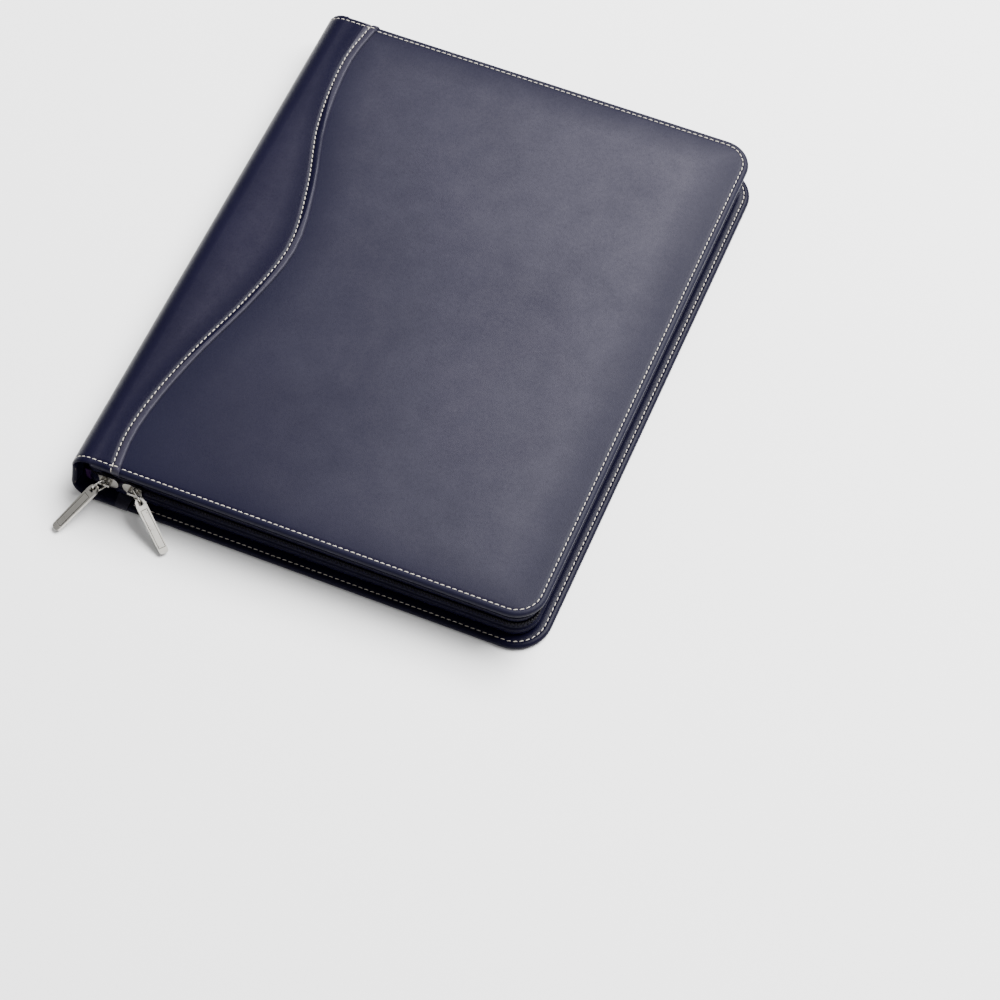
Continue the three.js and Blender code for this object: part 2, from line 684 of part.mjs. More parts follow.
function organiserOutline(left, right, foot, head) {
  const low = scoopFoot - frontHalf;
  const high = scoopHead - frontHalf;
  const shape = new THREE.Shape().moveTo(left, foot).lineTo(right, foot).lineTo(right, low);
  shape.bezierCurveTo(right, low + scoopRun / 2, right - scoopDepth, low + scoopRun / 2,
    right - scoopDepth, low + scoopRun);
  shape.lineTo(right - scoopDepth, high - scoopRun);
  shape.bezierCurveTo(right - scoopDepth, high - scoopRun / 2, right, high - scoopRun / 2, right, high);
  return shape.lineTo(right, head).lineTo(left, head);
}

function buildOrganiser(group) {
  const under = frontTop - liningFace;
  const left = foldEdge + organiserSpine;
  const right = foldEdge + organiserFore;
  const foot = organiserFoot - frontHalf;
  const head = organiserHead - frontHalf;
  const brochureZ = frontTop - coverThickness - clearance - brochureThickness;
  const tapeZ = brochureZ - clearance - pocketTape;
  const mainZ = tapeZ - panel;
  const slipZ = mainZ - panel;
  const cardZ = slipZ - panel;

  const brochureX = right + brochureOut;
  const brochureY = brochureFoot - frontHalf;
  add(group, 'brochure', block(brochureX - brochureWidth, brochureX, brochureY, brochureY + brochureLength,
    brochureZ, brochureZ + brochureThickness), looks.print);

  const zipLine = foldEdge + pocketZipAt;
  const zipFoot = pocketZipFoot - frontHalf;
  const zipHead = zipFoot + pocketZipLength;
  const slotHalf = pocketSlot / 2;
  const slot = block(zipLine - slotHalf, zipLine + slotHalf, zipFoot, zipHead, mainZ - 1, tapeZ + 1);
  const hem = foot - organiserSkirt;
  const main = plate(organiserOutline(left, right, hem, head), mainZ, panel).subtract(slot);
  const lips = [
    block(left, left + lipWidth, hem, head, mainZ + panel / 2, under),
    block(left, right, head - lipWidth, head, mainZ + panel / 2, under),
    block(left, right, hem, hem + lipWidth, mainZ + panel / 2, under),
  ];
  add(group, 'organiser_panel', wasm.Manifold.union([main, ...lips]), looks.panelNavy);

  const margin = (pocketTapeWidth - pocketSlot) / 2;
  const tape = block(zipLine - pocketTapeWidth / 2, zipLine + pocketTapeWidth / 2, zipFoot - margin,
    zipHead + margin, tapeZ, tapeZ + pocketTape);
  add(group, 'pocket_zip_tape', tape, looks.tape);
  const chain = pocketChainBar(zipLine, zipFoot + clearance, zipHead - clearance, tapeZ);
  add(group, 'pocket_zip_teeth', chain, looks.coil);

  add(group, 'slip_pocket_panel', block(left, foldEdge + slipFore, foot, head, slipZ, slipZ + panel),
    looks.panelNavy);
  const cardFore = foldEdge + cardPanelFore;
  add(group, 'card_panel', block(left, cardFore, foot, head, cardZ, cardZ + panel), looks.panelNavy);
  buildCards(group, cardZ);

  const frontZ = cardZ - 2 * clearance - bookletThickness - panel;
  const sideFoot = windowPanelHead - frontHalf + clearance;
  const sideHead = sidePanelHead - frontHalf;
  const middle = (sideFoot + sideHead) / 2;
  const side = rectangle(left, cardFore, sideFoot, sideHead);
  const thumb = rectangle(cardFore - thumbDepth, cardFore + thumbDepth, middle - thumbLength / 2,
    middle + thumbLength / 2, thumbDepth / 2);
  const sidePanel = plate(side, frontZ, panel).subtract(plate(thumb, frontZ - 1, panel + 2));
  const seamLip = block(left, left + lipWidth, sideFoot, sideHead, frontZ + panel / 2, cardZ);
  add(group, 'side_pocket_panel', sidePanel.add(seamLip), looks.panelNavy);
  const bookletX = cardFore - clearance;
  add(group, 'side_booklet', block(bookletX - bookletWidth, bookletX, sideFoot + bookletMargin,
    sideHead - bookletMargin, cardZ - clearance - bookletThickness, cardZ - clearance), looks.paper);

  const windowX = left + windowSpine;
  const windowY = foot + windowFoot;
  const opening = rectangle(windowX, windowX + windowWidth, windowY, windowY + windowHeight);
  const windowTop = windowPanelHead - frontHalf;
  const frame = plate(rectangle(left, cardFore, foot, windowTop), frontZ, panel);
  const frameLip = block(left, left + lipWidth, foot, windowTop, frontZ + panel / 2, cardZ);
  const cut = frame.subtract(plate(opening, frontZ - 1, panel + 2));
  add(group, 'window_panel', cut.add(frameLip), looks.panelNavy);
  const lapped = (z, thickness) => block(windowX - windowLap, windowX + windowWidth + windowLap,
    windowY - windowLap, windowY + windowHeight + windowLap, z, z + thickness);
  add(group, 'window_film', lapped(frontZ + panel, film), looks.film);
  add(group, 'window_insert', lapped(frontZ + panel + film + clearance, insertThickness), looks.blue);

  buildPocketSlider(group, zipLine, pocketSliderAt - frontHalf, tapeZ);
}

// The pocket's closed chain: a bar with a rib at each turn of its coil, under the tape.
function pocketChainBar(x, foot, head, top) {
  const web = top - pocketChain / 2;
  const crown = top - pocketChain;
  const slant = pocketRibPitch / 8;
  const shape = new THREE.Shape().moveTo(foot, top).lineTo(foot, web);
  const count = Math.floor((head - foot) / pocketRibPitch);
  for (let i = 0; i < count; i += 1) {
    const y = foot + i * pocketRibPitch + 2 * slant;
    shape.lineTo(y, web).lineTo(y + slant, crown).lineTo(y + 3 * slant, crown).lineTo(y + 4 * slant, web);
  }
  shape.lineTo(head, web).lineTo(head, top);
  return alongX(shape, x - pocketChainWidth / 2, x + pocketChainWidth / 2);
}

function buildPocketSlider(group, x, y, tapeZ) {
  const channel = pocketChainWidth / 2 + clearance;
  const half = pocketSliderLength / 2;
  const roof = tapeZ - pocketChain - clearance;
  const low = roof - pocketSliderWall;
  const outerHalf = channel + pocketSliderWall;
  const shell = plate(rectangle(x - outerHalf, x + outerHalf, y - half, y + half, outerHalf / 2), low,
    tapeZ - clearance - low);
  const groove = block(x - channel, x + channel, y - half - 1, y + half + 1, roof, tapeZ);
  const hole = pocketPullThickness + 2 * clearance;
  const archHalf = pocketBailGap / 2 + pocketBail;
  const arch = block(x - pocketBail, x + pocketBail, y - archHalf, y + archHalf, low - hole - pocketBail,
    low + pocketSliderWall / 2);
  const eye = block(x - 1.5 * pocketBail, x + 1.5 * pocketBail, y - pocketBailGap / 2, y + pocketBailGap / 2,
    low - hole, low);
  add(group, 'pocket_slider_body', shell.subtract(groove).add(arch.subtract(eye)), looks.gilt);
  const z = low - clearance - pocketPullThickness;
  const bar = pocketBarWidth / 2;
  const tab = rectangle(x - pocketPullWidth / 2, x + pocketPullWidth / 2, y - bar, y + pocketPullReach,
    pocketPullWidth / 4);
  tab.holes.push(rectangle(x - pocketEyeWidth / 2, x + pocketEyeWidth / 2, y + bar, y + bar + pocketEye));
  add(group, 'pocket_pull_tab', plate(tab, z, pocketPullThickness), looks.gilt);
}

const compendium = new THREE.Group();
const backCover = buildBackCover();
const spine = buildSpine();
const frontCover = buildFrontCover();
buildZip(backCover, frontCover);
buildSlider(spine, 'parked', parkedX, false, parkedTurn);
buildSlider(backCover, 'travelling', travellingX, true, travellingTurn);
buildOrganiser(frontCover);
compendium.add(backCover, spine, frontCover, buildPen(), buildPad(backCover));

export default compendium;
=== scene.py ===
import json
import math
import random

import bmesh
import bpy
from mathutils import Matrix, Vector
from mathutils.geometry import tessellate_polygon


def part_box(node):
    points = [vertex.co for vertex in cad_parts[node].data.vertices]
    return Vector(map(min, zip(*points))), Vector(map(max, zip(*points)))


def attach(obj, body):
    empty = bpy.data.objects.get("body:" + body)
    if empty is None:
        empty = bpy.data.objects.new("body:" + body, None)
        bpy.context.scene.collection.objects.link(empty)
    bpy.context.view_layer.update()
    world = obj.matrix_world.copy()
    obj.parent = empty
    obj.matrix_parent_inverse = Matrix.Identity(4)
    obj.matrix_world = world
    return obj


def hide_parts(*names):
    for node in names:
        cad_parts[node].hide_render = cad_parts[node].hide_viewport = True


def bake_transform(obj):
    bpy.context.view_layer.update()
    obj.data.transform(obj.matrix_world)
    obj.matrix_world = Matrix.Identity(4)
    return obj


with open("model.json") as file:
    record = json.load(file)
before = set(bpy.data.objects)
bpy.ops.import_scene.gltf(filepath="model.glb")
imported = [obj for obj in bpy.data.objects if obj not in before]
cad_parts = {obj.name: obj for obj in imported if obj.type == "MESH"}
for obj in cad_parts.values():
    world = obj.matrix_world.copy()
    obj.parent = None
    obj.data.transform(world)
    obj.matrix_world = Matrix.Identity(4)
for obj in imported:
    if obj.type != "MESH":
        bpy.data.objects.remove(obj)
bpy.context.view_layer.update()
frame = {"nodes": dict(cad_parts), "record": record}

# The photographer's view: a long lens, high over the foot of the case and turned a little towards
# its fore-edge.
camera = bpy.data.objects.new("camera", bpy.data.cameras.new("camera"))
bpy.context.collection.objects.link(camera)
bpy.context.scene.camera = camera
camera.data.sensor_width = 36
camera.data.lens = 108
view_right = Vector((0.92500, 0.37976, 0.01268))
view_up = Vector((-0.32704, 0.77872, 0.53538))
view_back = Vector((0.19344, -0.49937, 0.84452))
camera_place = Vector((0.4058, -0.9264, 1.4137))
turned_to_view = Matrix((view_right, view_up, view_back)).transposed().to_4x4()
camera.matrix_world = Matrix.Translation(camera_place) @ turned_to_view

# A plain pale floor under the case, lit as in a small studio: pale walls all round, a wide light
# overhead, and a small one beyond the head edge that grazes the front.


class Value:
    """The output of a material's node. Sums on it add Math nodes."""

    def __init__(self, socket):
        self.socket = socket

    def sum(self, operation, first, second):
        return node(self.socket.id_data, "Math", {"operation": operation}, {0: first, 1: second})

    def __add__(self, other):
        return self.sum("ADD", self, other)

    def __sub__(self, other):
        return self.sum("SUBTRACT", self, other)

    def __rsub__(self, other):
        return self.sum("SUBTRACT", other, self)

    def __mul__(self, other):
        return self.sum("MULTIPLY", self, other)

    def __gt__(self, other):
        return self.sum("GREATER_THAN", self, other)

    def __lt__(self, other):
        return self.sum("LESS_THAN", self, other)

    __radd__ = __add__
    __rmul__ = __mul__

    def remainder(self, step):
        return self.sum("FLOORED_MODULO", self, step)

    def least(self, other):
        return self.sum("MINIMUM", self, other)


def node(tree, kind, settings, sockets, out=0):
    """One shader node: its settings, a ramp's stops among them, then the values or links of its sockets."""
    made = tree.nodes.new("ShaderNode" + kind)
    for key, value in settings.items():
        if key != "stops":
            setattr(made, key, value)
            continue
        for i, (place, colour) in enumerate(value):
            stops = made.color_ramp.elements
            stop = stops[i] if i < 2 else stops.new(place)
            stop.position = place
            stop.color = (*colour, 1)
    for key, value in sockets.items():
        if isinstance(value, Value):
            tree.links.new(value.socket, made.inputs[key])
        else:
            made.inputs[key].default_value = value
    return Value(made.outputs[out])


def surface(name, constants):
    """A new material with these constants on its shader, and the material's tree."""
    material = bpy.data.materials.new(name)
    material.use_nodes = True
    for key, value in constants.items():
        material.node_tree.nodes["Principled BSDF"].inputs[key].default_value = value
    return material, material.node_tree


def feed(tree, **inputs):
    """Links values to the shader's sockets; bump= is a height in metres."""
    shader = tree.nodes["Principled BSDF"]
    bump = inputs.pop("bump", None)
    if bump is not None:
        inputs["Normal"] = node(tree, "Bump", {}, {"Strength": 1.0, "Distance": 1.0, "Height": bump})
    for key, value in inputs.items():
        tree.links.new(value.socket, shader.inputs[key.replace("_", " ")])


def place_in(tree):
    """Where a point of the surface lies in the object, in metres."""
    return node(tree, "TexCoord", {}, {}, out="Object")


def noise(tree, scale, detail=2.0, at=None):
    """Smooth noise from 0 to 1, with about scale cells to the metre."""
    at = at or place_in(tree)
    return node(tree, "TexNoise", {}, {"Vector": at, "Scale": scale, "Detail": detail})


def mix(tree, share, a, b):
    """Colour a, or b where share is 1. Each is a colour or a Value."""
    ends = {0: share, 6: a if isinstance(a, Value) else (*a, 1), 7: b if isinstance(b, Value) else (*b, 1)}
    return node(tree, "Mix", {"data_type": "RGBA"}, ends, out=2)


def softbox(name, place, aim, width, height, watts):
    light = bpy.data.objects.new(name, bpy.data.lights.new(name, "AREA"))
    light.data.shape = "RECTANGLE"
    light.data.size = width
    light.data.size_y = height
    light.data.energy = watts
    light.location = place
    light.rotation_euler = (Vector(aim) - Vector(place)).to_track_quat("-Z", "Y").to_euler()
    bpy.context.collection.objects.link(light)


floor_half = 15
floor_sheet, tree = surface("studio_floor", {"Roughness": 0.9})
feed(tree, Base_Color=mix(tree, noise(tree, 3), (0.9, 0.9, 0.905), (0.92, 0.92, 0.92)))
floor_mesh = bpy.data.meshes.new("floor")
floor_corners = [(x * floor_half, y * floor_half, 0) for x, y in ((-1, -1), (1, -1), (1, 1), (-1, 1))]
floor_mesh.from_pydata(floor_corners, [], [(0, 1, 2, 3)])
floor_mesh.materials.append(floor_sheet)
floor = bpy.data.objects.new("floor", floor_mesh)
floor.location.z = -0.0003
bpy.context.collection.objects.link(floor)

world = bpy.data.worlds.new("studio")
bpy.context.scene.world = world
world.use_nodes = True
world.node_tree.nodes["Background"].inputs["Color"].default_value = (1.0, 1.0, 1.0, 1)
world.node_tree.nodes["Background"].inputs["Strength"].default_value = 0.5
softbox("overhead_light", (1.1, 1.2, 2.7), (0, -0.05, 0), 2.3, 2.0, 400)
softbox("head_light", (0.2, 1.5, 1.6), (0.05, 0.05, 0), 0.8, 0.7, 40)

# Front cover: smooth navy leather over a board, painted blue-grey over its flat for the light's sheen and for
# rubbing. Its edge is rolled and folded in over the board, then sewn through close to the edge, so the
# leather is drawn down along the stitches.
MM = 0.001


def corners(name):
    """The lowest and the highest corner of a CAD node, in millimetres."""
    return [tuple(round(c / MM, 3) for c in corner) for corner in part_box(name)]


def mesh_piece(name, points, faces, materials, slot, smooth=True):
    """A piece from points in millimetres."""
    mesh = bpy.data.meshes.new(name)
    mesh.from_pydata([(x * MM, y * MM, z * MM) for x, y, z in points], [], faces)
    for material in materials if isinstance(materials, list) else [materials]:
        mesh.materials.append(material)
    shape = bmesh.new()
    shape.from_mesh(mesh)
    bmesh.ops.recalc_face_normals(shape, faces=shape.faces)
    shape.to_mesh(mesh)
    shape.free()
    if smooth:
        mesh.shade_smooth()
        mesh.set_sharp_from_angle(angle=math.radians(60))
    piece = bpy.data.objects.new(name, mesh)
    bpy.context.collection.objects.link(piece)
    return piece


def arc(radius, start, turn, steps):
    """Points (x, y) round the origin, from the angle start on, in degrees."""
    angles = [math.radians(start + turn * i / steps) for i in range(steps + 1)]
    return [(radius * math.cos(a), radius * math.sin(a)) for a in angles]


def circle(radius, sides):
    return arc(radius, 0, 360, sides)[:-1]


def outline(x0, x1, y0, y1, radii=(0, 0, 0, 0), steps=8):
    """A rectangle, anticlockwise from its lower left corner, with a radius at each corner."""
    points = []
    for (x, y, start), radius in zip([(x0, y0, 180), (x1, y0, 270), (x1, y1, 0), (x0, y1, 90)], radii):
        if radius == 0:
            points.append((x, y))
            continue
        cx = x + radius if x == x0 else x - radius
        cy = y + radius if y == y0 else y - radius
        points += [(cx + a, cy + b) for a, b in arc(radius, start, 90, steps)]
    return points


def inset(points, depth):
    """The outline moved inwards by depth."""
    moved = []
    for i, (x, y) in enumerate(points):
        before, after = points[i - 1], points[(i + 1) % len(points)]
        a = Vector((x - before[0], y - before[1])).normalized()
        b = Vector((after[0] - x, after[1] - y)).normalized()
        na, nb = Vector((-a.y, a.x)), Vector((-b.y, b.x))
        n = (na + nb) / max(1 + na.dot(nb), 0.3)
        moved.append((x + n.x * depth, y + n.y * depth))
    return moved


def loft(loops, ring=False):
    """A skin over loops of points, with flat ends, or back to the first loop if it is a ring."""
    n = len(loops[0])
    points, faces = [p for loop in loops for p in loop], []
    for k in range(len(loops) if ring else len(loops) - 1):
        low, high = k * n, (k + 1) % len(loops) * n
        faces += [(low + i, low + (i + 1) % n, high + (i + 1) % n, high + i) for i in range(n)]
    if not ring:
        faces += [tuple(reversed(range(n))), tuple(range(len(points) - n, len(points)))]
    return points, faces


def rings(points, profile, base=0):
    """A closed skin: one ring of the outline for each (depth inwards, height over base), and flat ends."""
    return loft([[(x, y, base + z) for x, y in inset(points, depth)] for depth, z in profile])


def in_plan(tree, at=None):
    """x and y of a point of the surface, in metres."""
    at = at or place_in(tree)
    return (node(tree, "SeparateXYZ", {}, {"Vector": at}, out=i) for i in range(2))


def leather(name, deep, light, roughness, pebble=0.75, relief=1.0, gloss=0.03, worn_and_sheen=None, where=None):
    """Smooth coated leather: tone that wanders a little, fine pebble grain with painted shade in its creases,
    and faint soft waves. The worn colour is painted where rubbing has brought it out and also where the
    light's sheen falls, as painted sheen, and where(tree, x, y) says how far, from 0 to 1."""
    material, tree = surface(name, {"Specular IOR Level": gloss})
    at = place_in(tree)
    cells = node(tree, "TexVoronoi", {"feature": "DISTANCE_TO_EDGE"}, {"Vector": at, "Scale": 1000 / pebble})
    creases = (cells * 5).least(1)
    fine = noise(tree, 3200, 2, at)
    cloud = noise(tree, 22, 3, at)
    tone = mix(tree, cloud * 0.7 + fine * 0.3, deep, light)
    # Painted sheen: the worn colour goes where rubbing brought it out and also where the light's sheen falls,
    # as where() says.
    if worn_and_sheen:
        x, y = in_plan(tree, at)
        patch = noise(tree, 11, 5, at) * 0.42 + noise(tree, 70, 4, at) * 0.36 + noise(tree, 420, 3, at) * 0.3
        tone = mix(tree, where(tree, x, y) * (patch - 0.01), tone, worn_and_sheen)
    # Painted shade: the creases of the grain are painted darker than the tone around them.
    shade = mix(tree, (1 - creases) * 0.35, tone, tuple(c * 0.55 for c in deep))
    height = creases * (0.000022 * relief) + fine * (0.000012 * relief) + noise(tree, 26, 1, at) * 0.00035
    feed(tree, Base_Color=shade, Roughness=fine * 0.1 + cloud * 0.08 + (roughness - 0.09), bump=height)
    return material


def seam_line(tree, y):
    """About where the S-shaped seam of the front runs at this y, in metres."""
    return node(tree, "Math", {"operation": "COSINE"}, {0: (y - 0.002) * 20.9}) * 0.0146 - 0.1025


def front_wear_and_sheen(tree, x, y):
    """Painted sheen and wear: the flat of the front is rubbed, and painted lighter towards its head and
    fore-edge as the light's sheen; its edges and the strip beside the seam keep the dark tone as painted
    shade.
    """
    from_seam = (x - seam_line(tree, y) - 0.0055) * 40 + 0.25
    from_edge = from_seam.least((0.139 - x) * 30).least((0.0315 - y * y) * 110).least(1)
    return from_edge * (x * 2.7 + y * 1.4 + 0.52)


# Painted sheen: the front's lighter grey is painted over the navy where the light's sheen falls, with rubbed
# patches as wear; painted shade keeps its edges dark.
panel_leather = leather("panel_leather", (0.0036, 0.0034, 0.0115), (0.0055, 0.0052, 0.016), 0.42, gloss=0.07,
                        worn_and_sheen=(0.062, 0.0585, 0.075), where=front_wear_and_sheen)
(_, front_foot, front_base), (front_fore, front_head, _) = corners("front_cover_leather")
stitch_inset = 3.4
rolled_edge = [(2.2, 0.0), (0.9, 0.28), (0.25, 0.95), (0, 2.0), (0.25, 3.05), (0.9, 3.72), (2.2, 4.0)]
groove = [(2.9, 3.98), (stitch_inset - 0.15, 3.72), (stitch_inset + 0.2, 3.72), (4.0, 3.98)]
folded_under = [(5.9, 0.4), (5.7, 0.05), (4.0, 0.0), (stitch_inset, 0.15), (2.9, 0.0)]
front_profile = folded_under + rolled_edge + groove + [(5.5, 4.1), (9, 4.22), (14, 4.26)]
front_edge = outline(-122, front_fore, front_foot, front_head, (0, 18, 18, 0), 10)
front_skin = mesh_piece("front_cover_skin", *rings(front_edge, front_profile, front_base), panel_leather,
                        "leather_panel")
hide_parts("front_cover_leather")
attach(front_skin, "front")

# Boards: grey pulp board, 1.8 mm thick, glued inside both covers and the spine. The leather and the
# linings close round them, so only their edges could ever show.
grey_board, tree = surface("grey_board", {"Roughness": 0.9})
feed(tree, Base_Color=mix(tree, noise(tree, 900, 4), (0.12, 0.1, 0.08), (0.2, 0.17, 0.13)),
     bump=noise(tree, 2500, 3) * 0.00004)


def in_material(name, material):
    """The CAD's own piece, in this material."""
    piece = frame["nodes"][name]
    piece.data.materials.clear()
    piece.data.materials.append(material)
    return piece


for name in ("front_cover_board", "back_cover_board", "spine_stiffener"):
    in_material(name, grey_board)

# Saddle stitches along the front's edge, in off-white waxed thread, 3.5 mm apart and 3.4 mm in from
# the edge. Each is a short plump bar that sinks at both ends and leans a little off the seam.
thread, tree = surface("waxed_thread", {"Roughness": 0.6, "Sheen Weight": 0.2})
twist = noise(tree, 2600, 2)
feed(tree, Base_Color=mix(tree, twist, (0.33, 0.3, 0.255), (0.6, 0.56, 0.49)), bump=twist * 0.00012)
spine_face = corners("spine_leather")[0][0]


def joined(parts):
    """Many small skins as one."""
    points, faces = [], []
    for part_points, part_faces in parts:
        faces += [tuple(len(points) + i for i in face) for face in part_faces]
        points += part_points
    return points, faces


def stitch(middle, ahead, side, up, length, width):
    """One plump bar of thread, six-sided, from where it leaves the leather to where it goes back in."""
    loops = []
    for place, size, rise in ((-0.5, 0.25, -0.3), (-0.36, 0.85, 0.02), (0, 1, 0.14), (0.36, 0.85, 0.02),
                              (0.5, 0.25, -0.3)):
        centre = middle + ahead * (place * length) + up * rise
        loops.append([centre + side * (a * width / 2) + up * (b * width * 0.38) for a, b in circle(size, 6)])
    return loft(loops)


def stitched(name, paths, slot, pitch=3.5, length=2.6, width=0.5, lean=5, material=None):
    """Rows of stitches. A path is a list of (point, outward normal), in millimetres."""
    bars = []
    for path in paths:
        knots = [Vector(p) for p, _ in path]
        spans = [(b - a).length for a, b in zip(knots, knots[1:])]
        count = max(1, round(sum(spans) / pitch))
        step = sum(spans) / count
        for k in range(count):
            rest, i = (k + 0.5) * step, 0
            while i < len(spans) - 1 and rest > spans[i]:
                rest -= spans[i]
                i += 1
            t = rest / max(spans[i], 1e-6)
            up = Vector(path[i][1]).lerp(Vector(path[i + 1][1]), t).normalized()
            ahead = (knots[i + 1] - knots[i]).normalized()
            ahead = (ahead - up * ahead.dot(up)).normalized()
            ahead = Matrix.Rotation(math.radians(lean), 3, up) @ ahead
            bars.append(stitch(knots[i].lerp(knots[i + 1], t), ahead, up.cross(ahead), up, length, width))
    return mesh_piece(name, *joined(bars), material or thread, slot)


def along(points, z, up=(0, 0, 1)):
    return [((x, y, z), up) for x, y in points]


def seam_x(y):
    """x of the S-shaped seam's stitches on the front, drawn smoothly through (y, distance from the spine)."""
    stations = [(-190, 28), (-175, 25.5), (-150, 22.6), (-122, 25), (-83, 33), (-40, 45), (2, 51.8),
                (45, 44), (92, 30), (142, 24.2), (175, 28.5), (190, 31)]
    y = max(-188, min(188, y))
    for i in range(1, len(stations) - 2):
        (y0, before), (y1, a), (y2, b), (y3, after) = stations[i - 1:i + 3]
        if y1 <= y <= y2:
            break
    else:
        (y1, a), (y2, b) = stations[:2] if y < 0 else stations[-2:]
        return spine_face + a + (b - a) * (y - y1) / (y2 - y1)
    t, span = (y - y1) / (y2 - y1), y2 - y1
    slope_a, slope_b = (b - before) / (y2 - y0), (after - a) / (y3 - y1)
    h = (2 * t**3 - 3 * t**2 + 1) * a + (t**3 - 2 * t**2 + t) * span * slope_a
    return spine_face + h + (-2 * t**3 + 3 * t**2) * b + (t**3 - t**2) * span * slope_b


row_end = front_head - stitch_inset
row = inset(front_edge, stitch_inset)[1:-1]
row = [(seam_x(-row_end) + 5, -row_end)] + row + [(seam_x(row_end) + 5, row_end)]
edge_stitches = stitched("front_edge_stitches", [along(row, 32.95)], "leather_panel")
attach(edge_stitches, "front")

# Spine wrap: darker navy leather that starts at a folded, raised edge along the S-shaped seam, runs
# over the spine and ends at a straight seam on the back. Its ends at head and foot are rolled, and
# a taupe lining covers its inside. It bends at both sides of the spine, so it is made in two halves.
(_, _, spine_low), (_, back_head, spine_top) = corners("spine_leather")
case_top = corners("upper_fold_leather")[1][2]
half_height, bend_radius, wall = case_top / 2, 12, 3.7
bend_x = spine_face + bend_radius
welt, seam_middle = 4.8, -93.5
panel_end = corners("back_spine_panel")[1][0] + 0.2


def wrap_wear_and_sheen(tree, x, y):
    """Painted sheen and wear: the top of the wrap between the bend and the seam is rubbed and painted lighter
    as the light's sheen on it, dark towards both as painted shade, and the roll along its edge gets a painted
    highlight with its rubbing.
    """
    from_seam = seam_line(tree, y) - x
    middle = ((x + 0.132) * 60).least((from_seam - 0.004) * 90).least(1)
    return (middle > 0) * middle * 0.7 + (from_seam < -0.0012) * 1.6


navy = (0.0016, 0.0013, 0.0072), (0.0052, 0.0045, 0.0165)
navy_leather = leather("navy_leather", *navy, 0.34, gloss=0.06)
# Painted sheen: the wrap's lighter colour stands in for the light's sheen over its top and for a highlight on
# the roll, with rubbing as well.
wrap_leather = leather("wrap_leather", *navy, 0.34, gloss=0.06, worn_and_sheen=(0.028, 0.026, 0.039), where=wrap_wear_and_sheen)
taupe_lining = leather("taupe_lining", (0.0105, 0.0085, 0.0105), (0.0155, 0.0125, 0.0155), 0.55, 0.6, 0.6)
end_groove = [(5.5, 0.0), (4.1, 0.01), (3.65, 0.09), (3.15, 0.09), (2.75, 0.01)]
end_roll = [(2.2, 0.0), (1.2, 0.06), (0.45, 0.2), (0, 0.5), (0.45, 0.8), (1.2, 0.94), (2.2, 1.0)]
folded_edge = [(10, 0), (7, -0.08), (5.4, -0.2), (5.0, -0.5), (4.6, -0.5), (4.2, 0.1), (3.6, 0.5),
               (2.4, 0.66), (1.2, 0.68), (0.5, 0.5), (0.12, 0.05), (0, -0.7), (0.2, -1.0), (0.6, -1.3)]
butted_edge = [(9, 0), (4, 0), (3.7, -0.25), (3.3, -0.25), (3.0, 0.0), (1.0, 0.0), (0.3, -0.2), (0, -0.8)]


def half_length(z):
    """Half the length of the wrap at this height: the back cover is a little longer."""
    share = min(1, max(0, (z - spine_low) / (spine_top - spine_low)))
    return back_head + 0.4 - (back_head - front_head) * share


def bend(up, cover, fore, edge):
    """Stations of half a wrap, from the middle of the spine: (outer x, outer z, inner x, inner z, share
    that follows the seam, lift). up is 1 towards the front, and cover is the cover's thickness."""
    inside, straight, flat_x = spine_face + wall, half_height - bend_radius, bend_x + 2.3
    inner_radius = bend_radius - 2
    line = [(spine_face, 0, inside, 0), (spine_face, 3, inside, 3),
            (spine_face, straight, inside - 0.4, straight + 0.1)]
    line += [(bend_x - bend_radius * c, straight + bend_radius * s,
              bend_x - inner_radius * c, straight + inner_radius * s) for c, s in arc(1, 15, 75, 5)]
    line += [(bend_x + 0.6, half_height, bend_x + 0.4, half_height + 1 - cover / 2.5),
             (bend_x + 1.3, half_height, bend_x + 0.9, half_height + 0.6 - cover),
             (flat_x, half_height, flat_x - 0.4, half_height - cover)]
    stations = [(ox, half_height + up * oz, ix, half_height + up * iz, 0, 0) for ox, oz, ix, iz in line]
    face, under = half_height + up * half_height, half_height + up * (half_height - cover)
    for share in (0.3, 0.6):
        x = flat_x + share * (fore - 9 - flat_x)
        stations.append((x, face, x, under, share, 0))
    return stations + [(fore - back, face, fore - back, under, 1, lift * up) for back, lift in edge]


def wrap(name, stations, seam_shift):
    """Half a wrap as one skin: a closed section along the case at each station, lined inside."""
    lined_half = 169
    loops, inner = [], []
    for ox, oz, ix, iz, share, lift in stations:
        half = half_length(oz)
        middle = [(half - 8) * (-1 + i / 14) for i in range(29)]
        loop = [(-half + d, f) for d, f in reversed(end_groove)] + [(y, 0) for y in middle]
        loop += [(half - d, f) for d, f in end_groove + end_roll]
        loop += [(y, 1) for y in reversed(middle)] + [(-half + d, f) for d, f in reversed(end_roll)]
        loops.append([(ox + (ix - ox) * f + share * seam_shift(y), y, oz + (iz - oz) * f + lift * (1 - f))
                      for y, f in loop])
        inner += [f > 0.93 and abs(y) < lined_half for y, f in loop]
    piece = mesh_piece(name, *loft(loops), [wrap_leather, taupe_lining], "leather_dark")
    for face in piece.data.polygons:
        if all(inner[i] for i in face.vertices):
            face.material_index = 1
    return piece


def end_rows(stations, stop):
    """Stitch lines at the foot and head ends of half a wrap, over the first stations up to stop."""
    rows = []
    for side in (-1, 1):
        row = []
        for ox, oz, ix, iz, share, lift in stations[:stop]:
            y = side * (half_length(oz) - stitch_inset)
            out = Vector((ox - ix, 0, oz - iz)).normalized()
            shift = share * (seam_x(y) - seam_middle) if oz > half_height else 0
            row.append((Vector((ox + shift, y, oz + lift)) - out * 0.25, out))
        rows.append(row)
    return rows


def metres(*point):
    return tuple(c * MM for c in point)


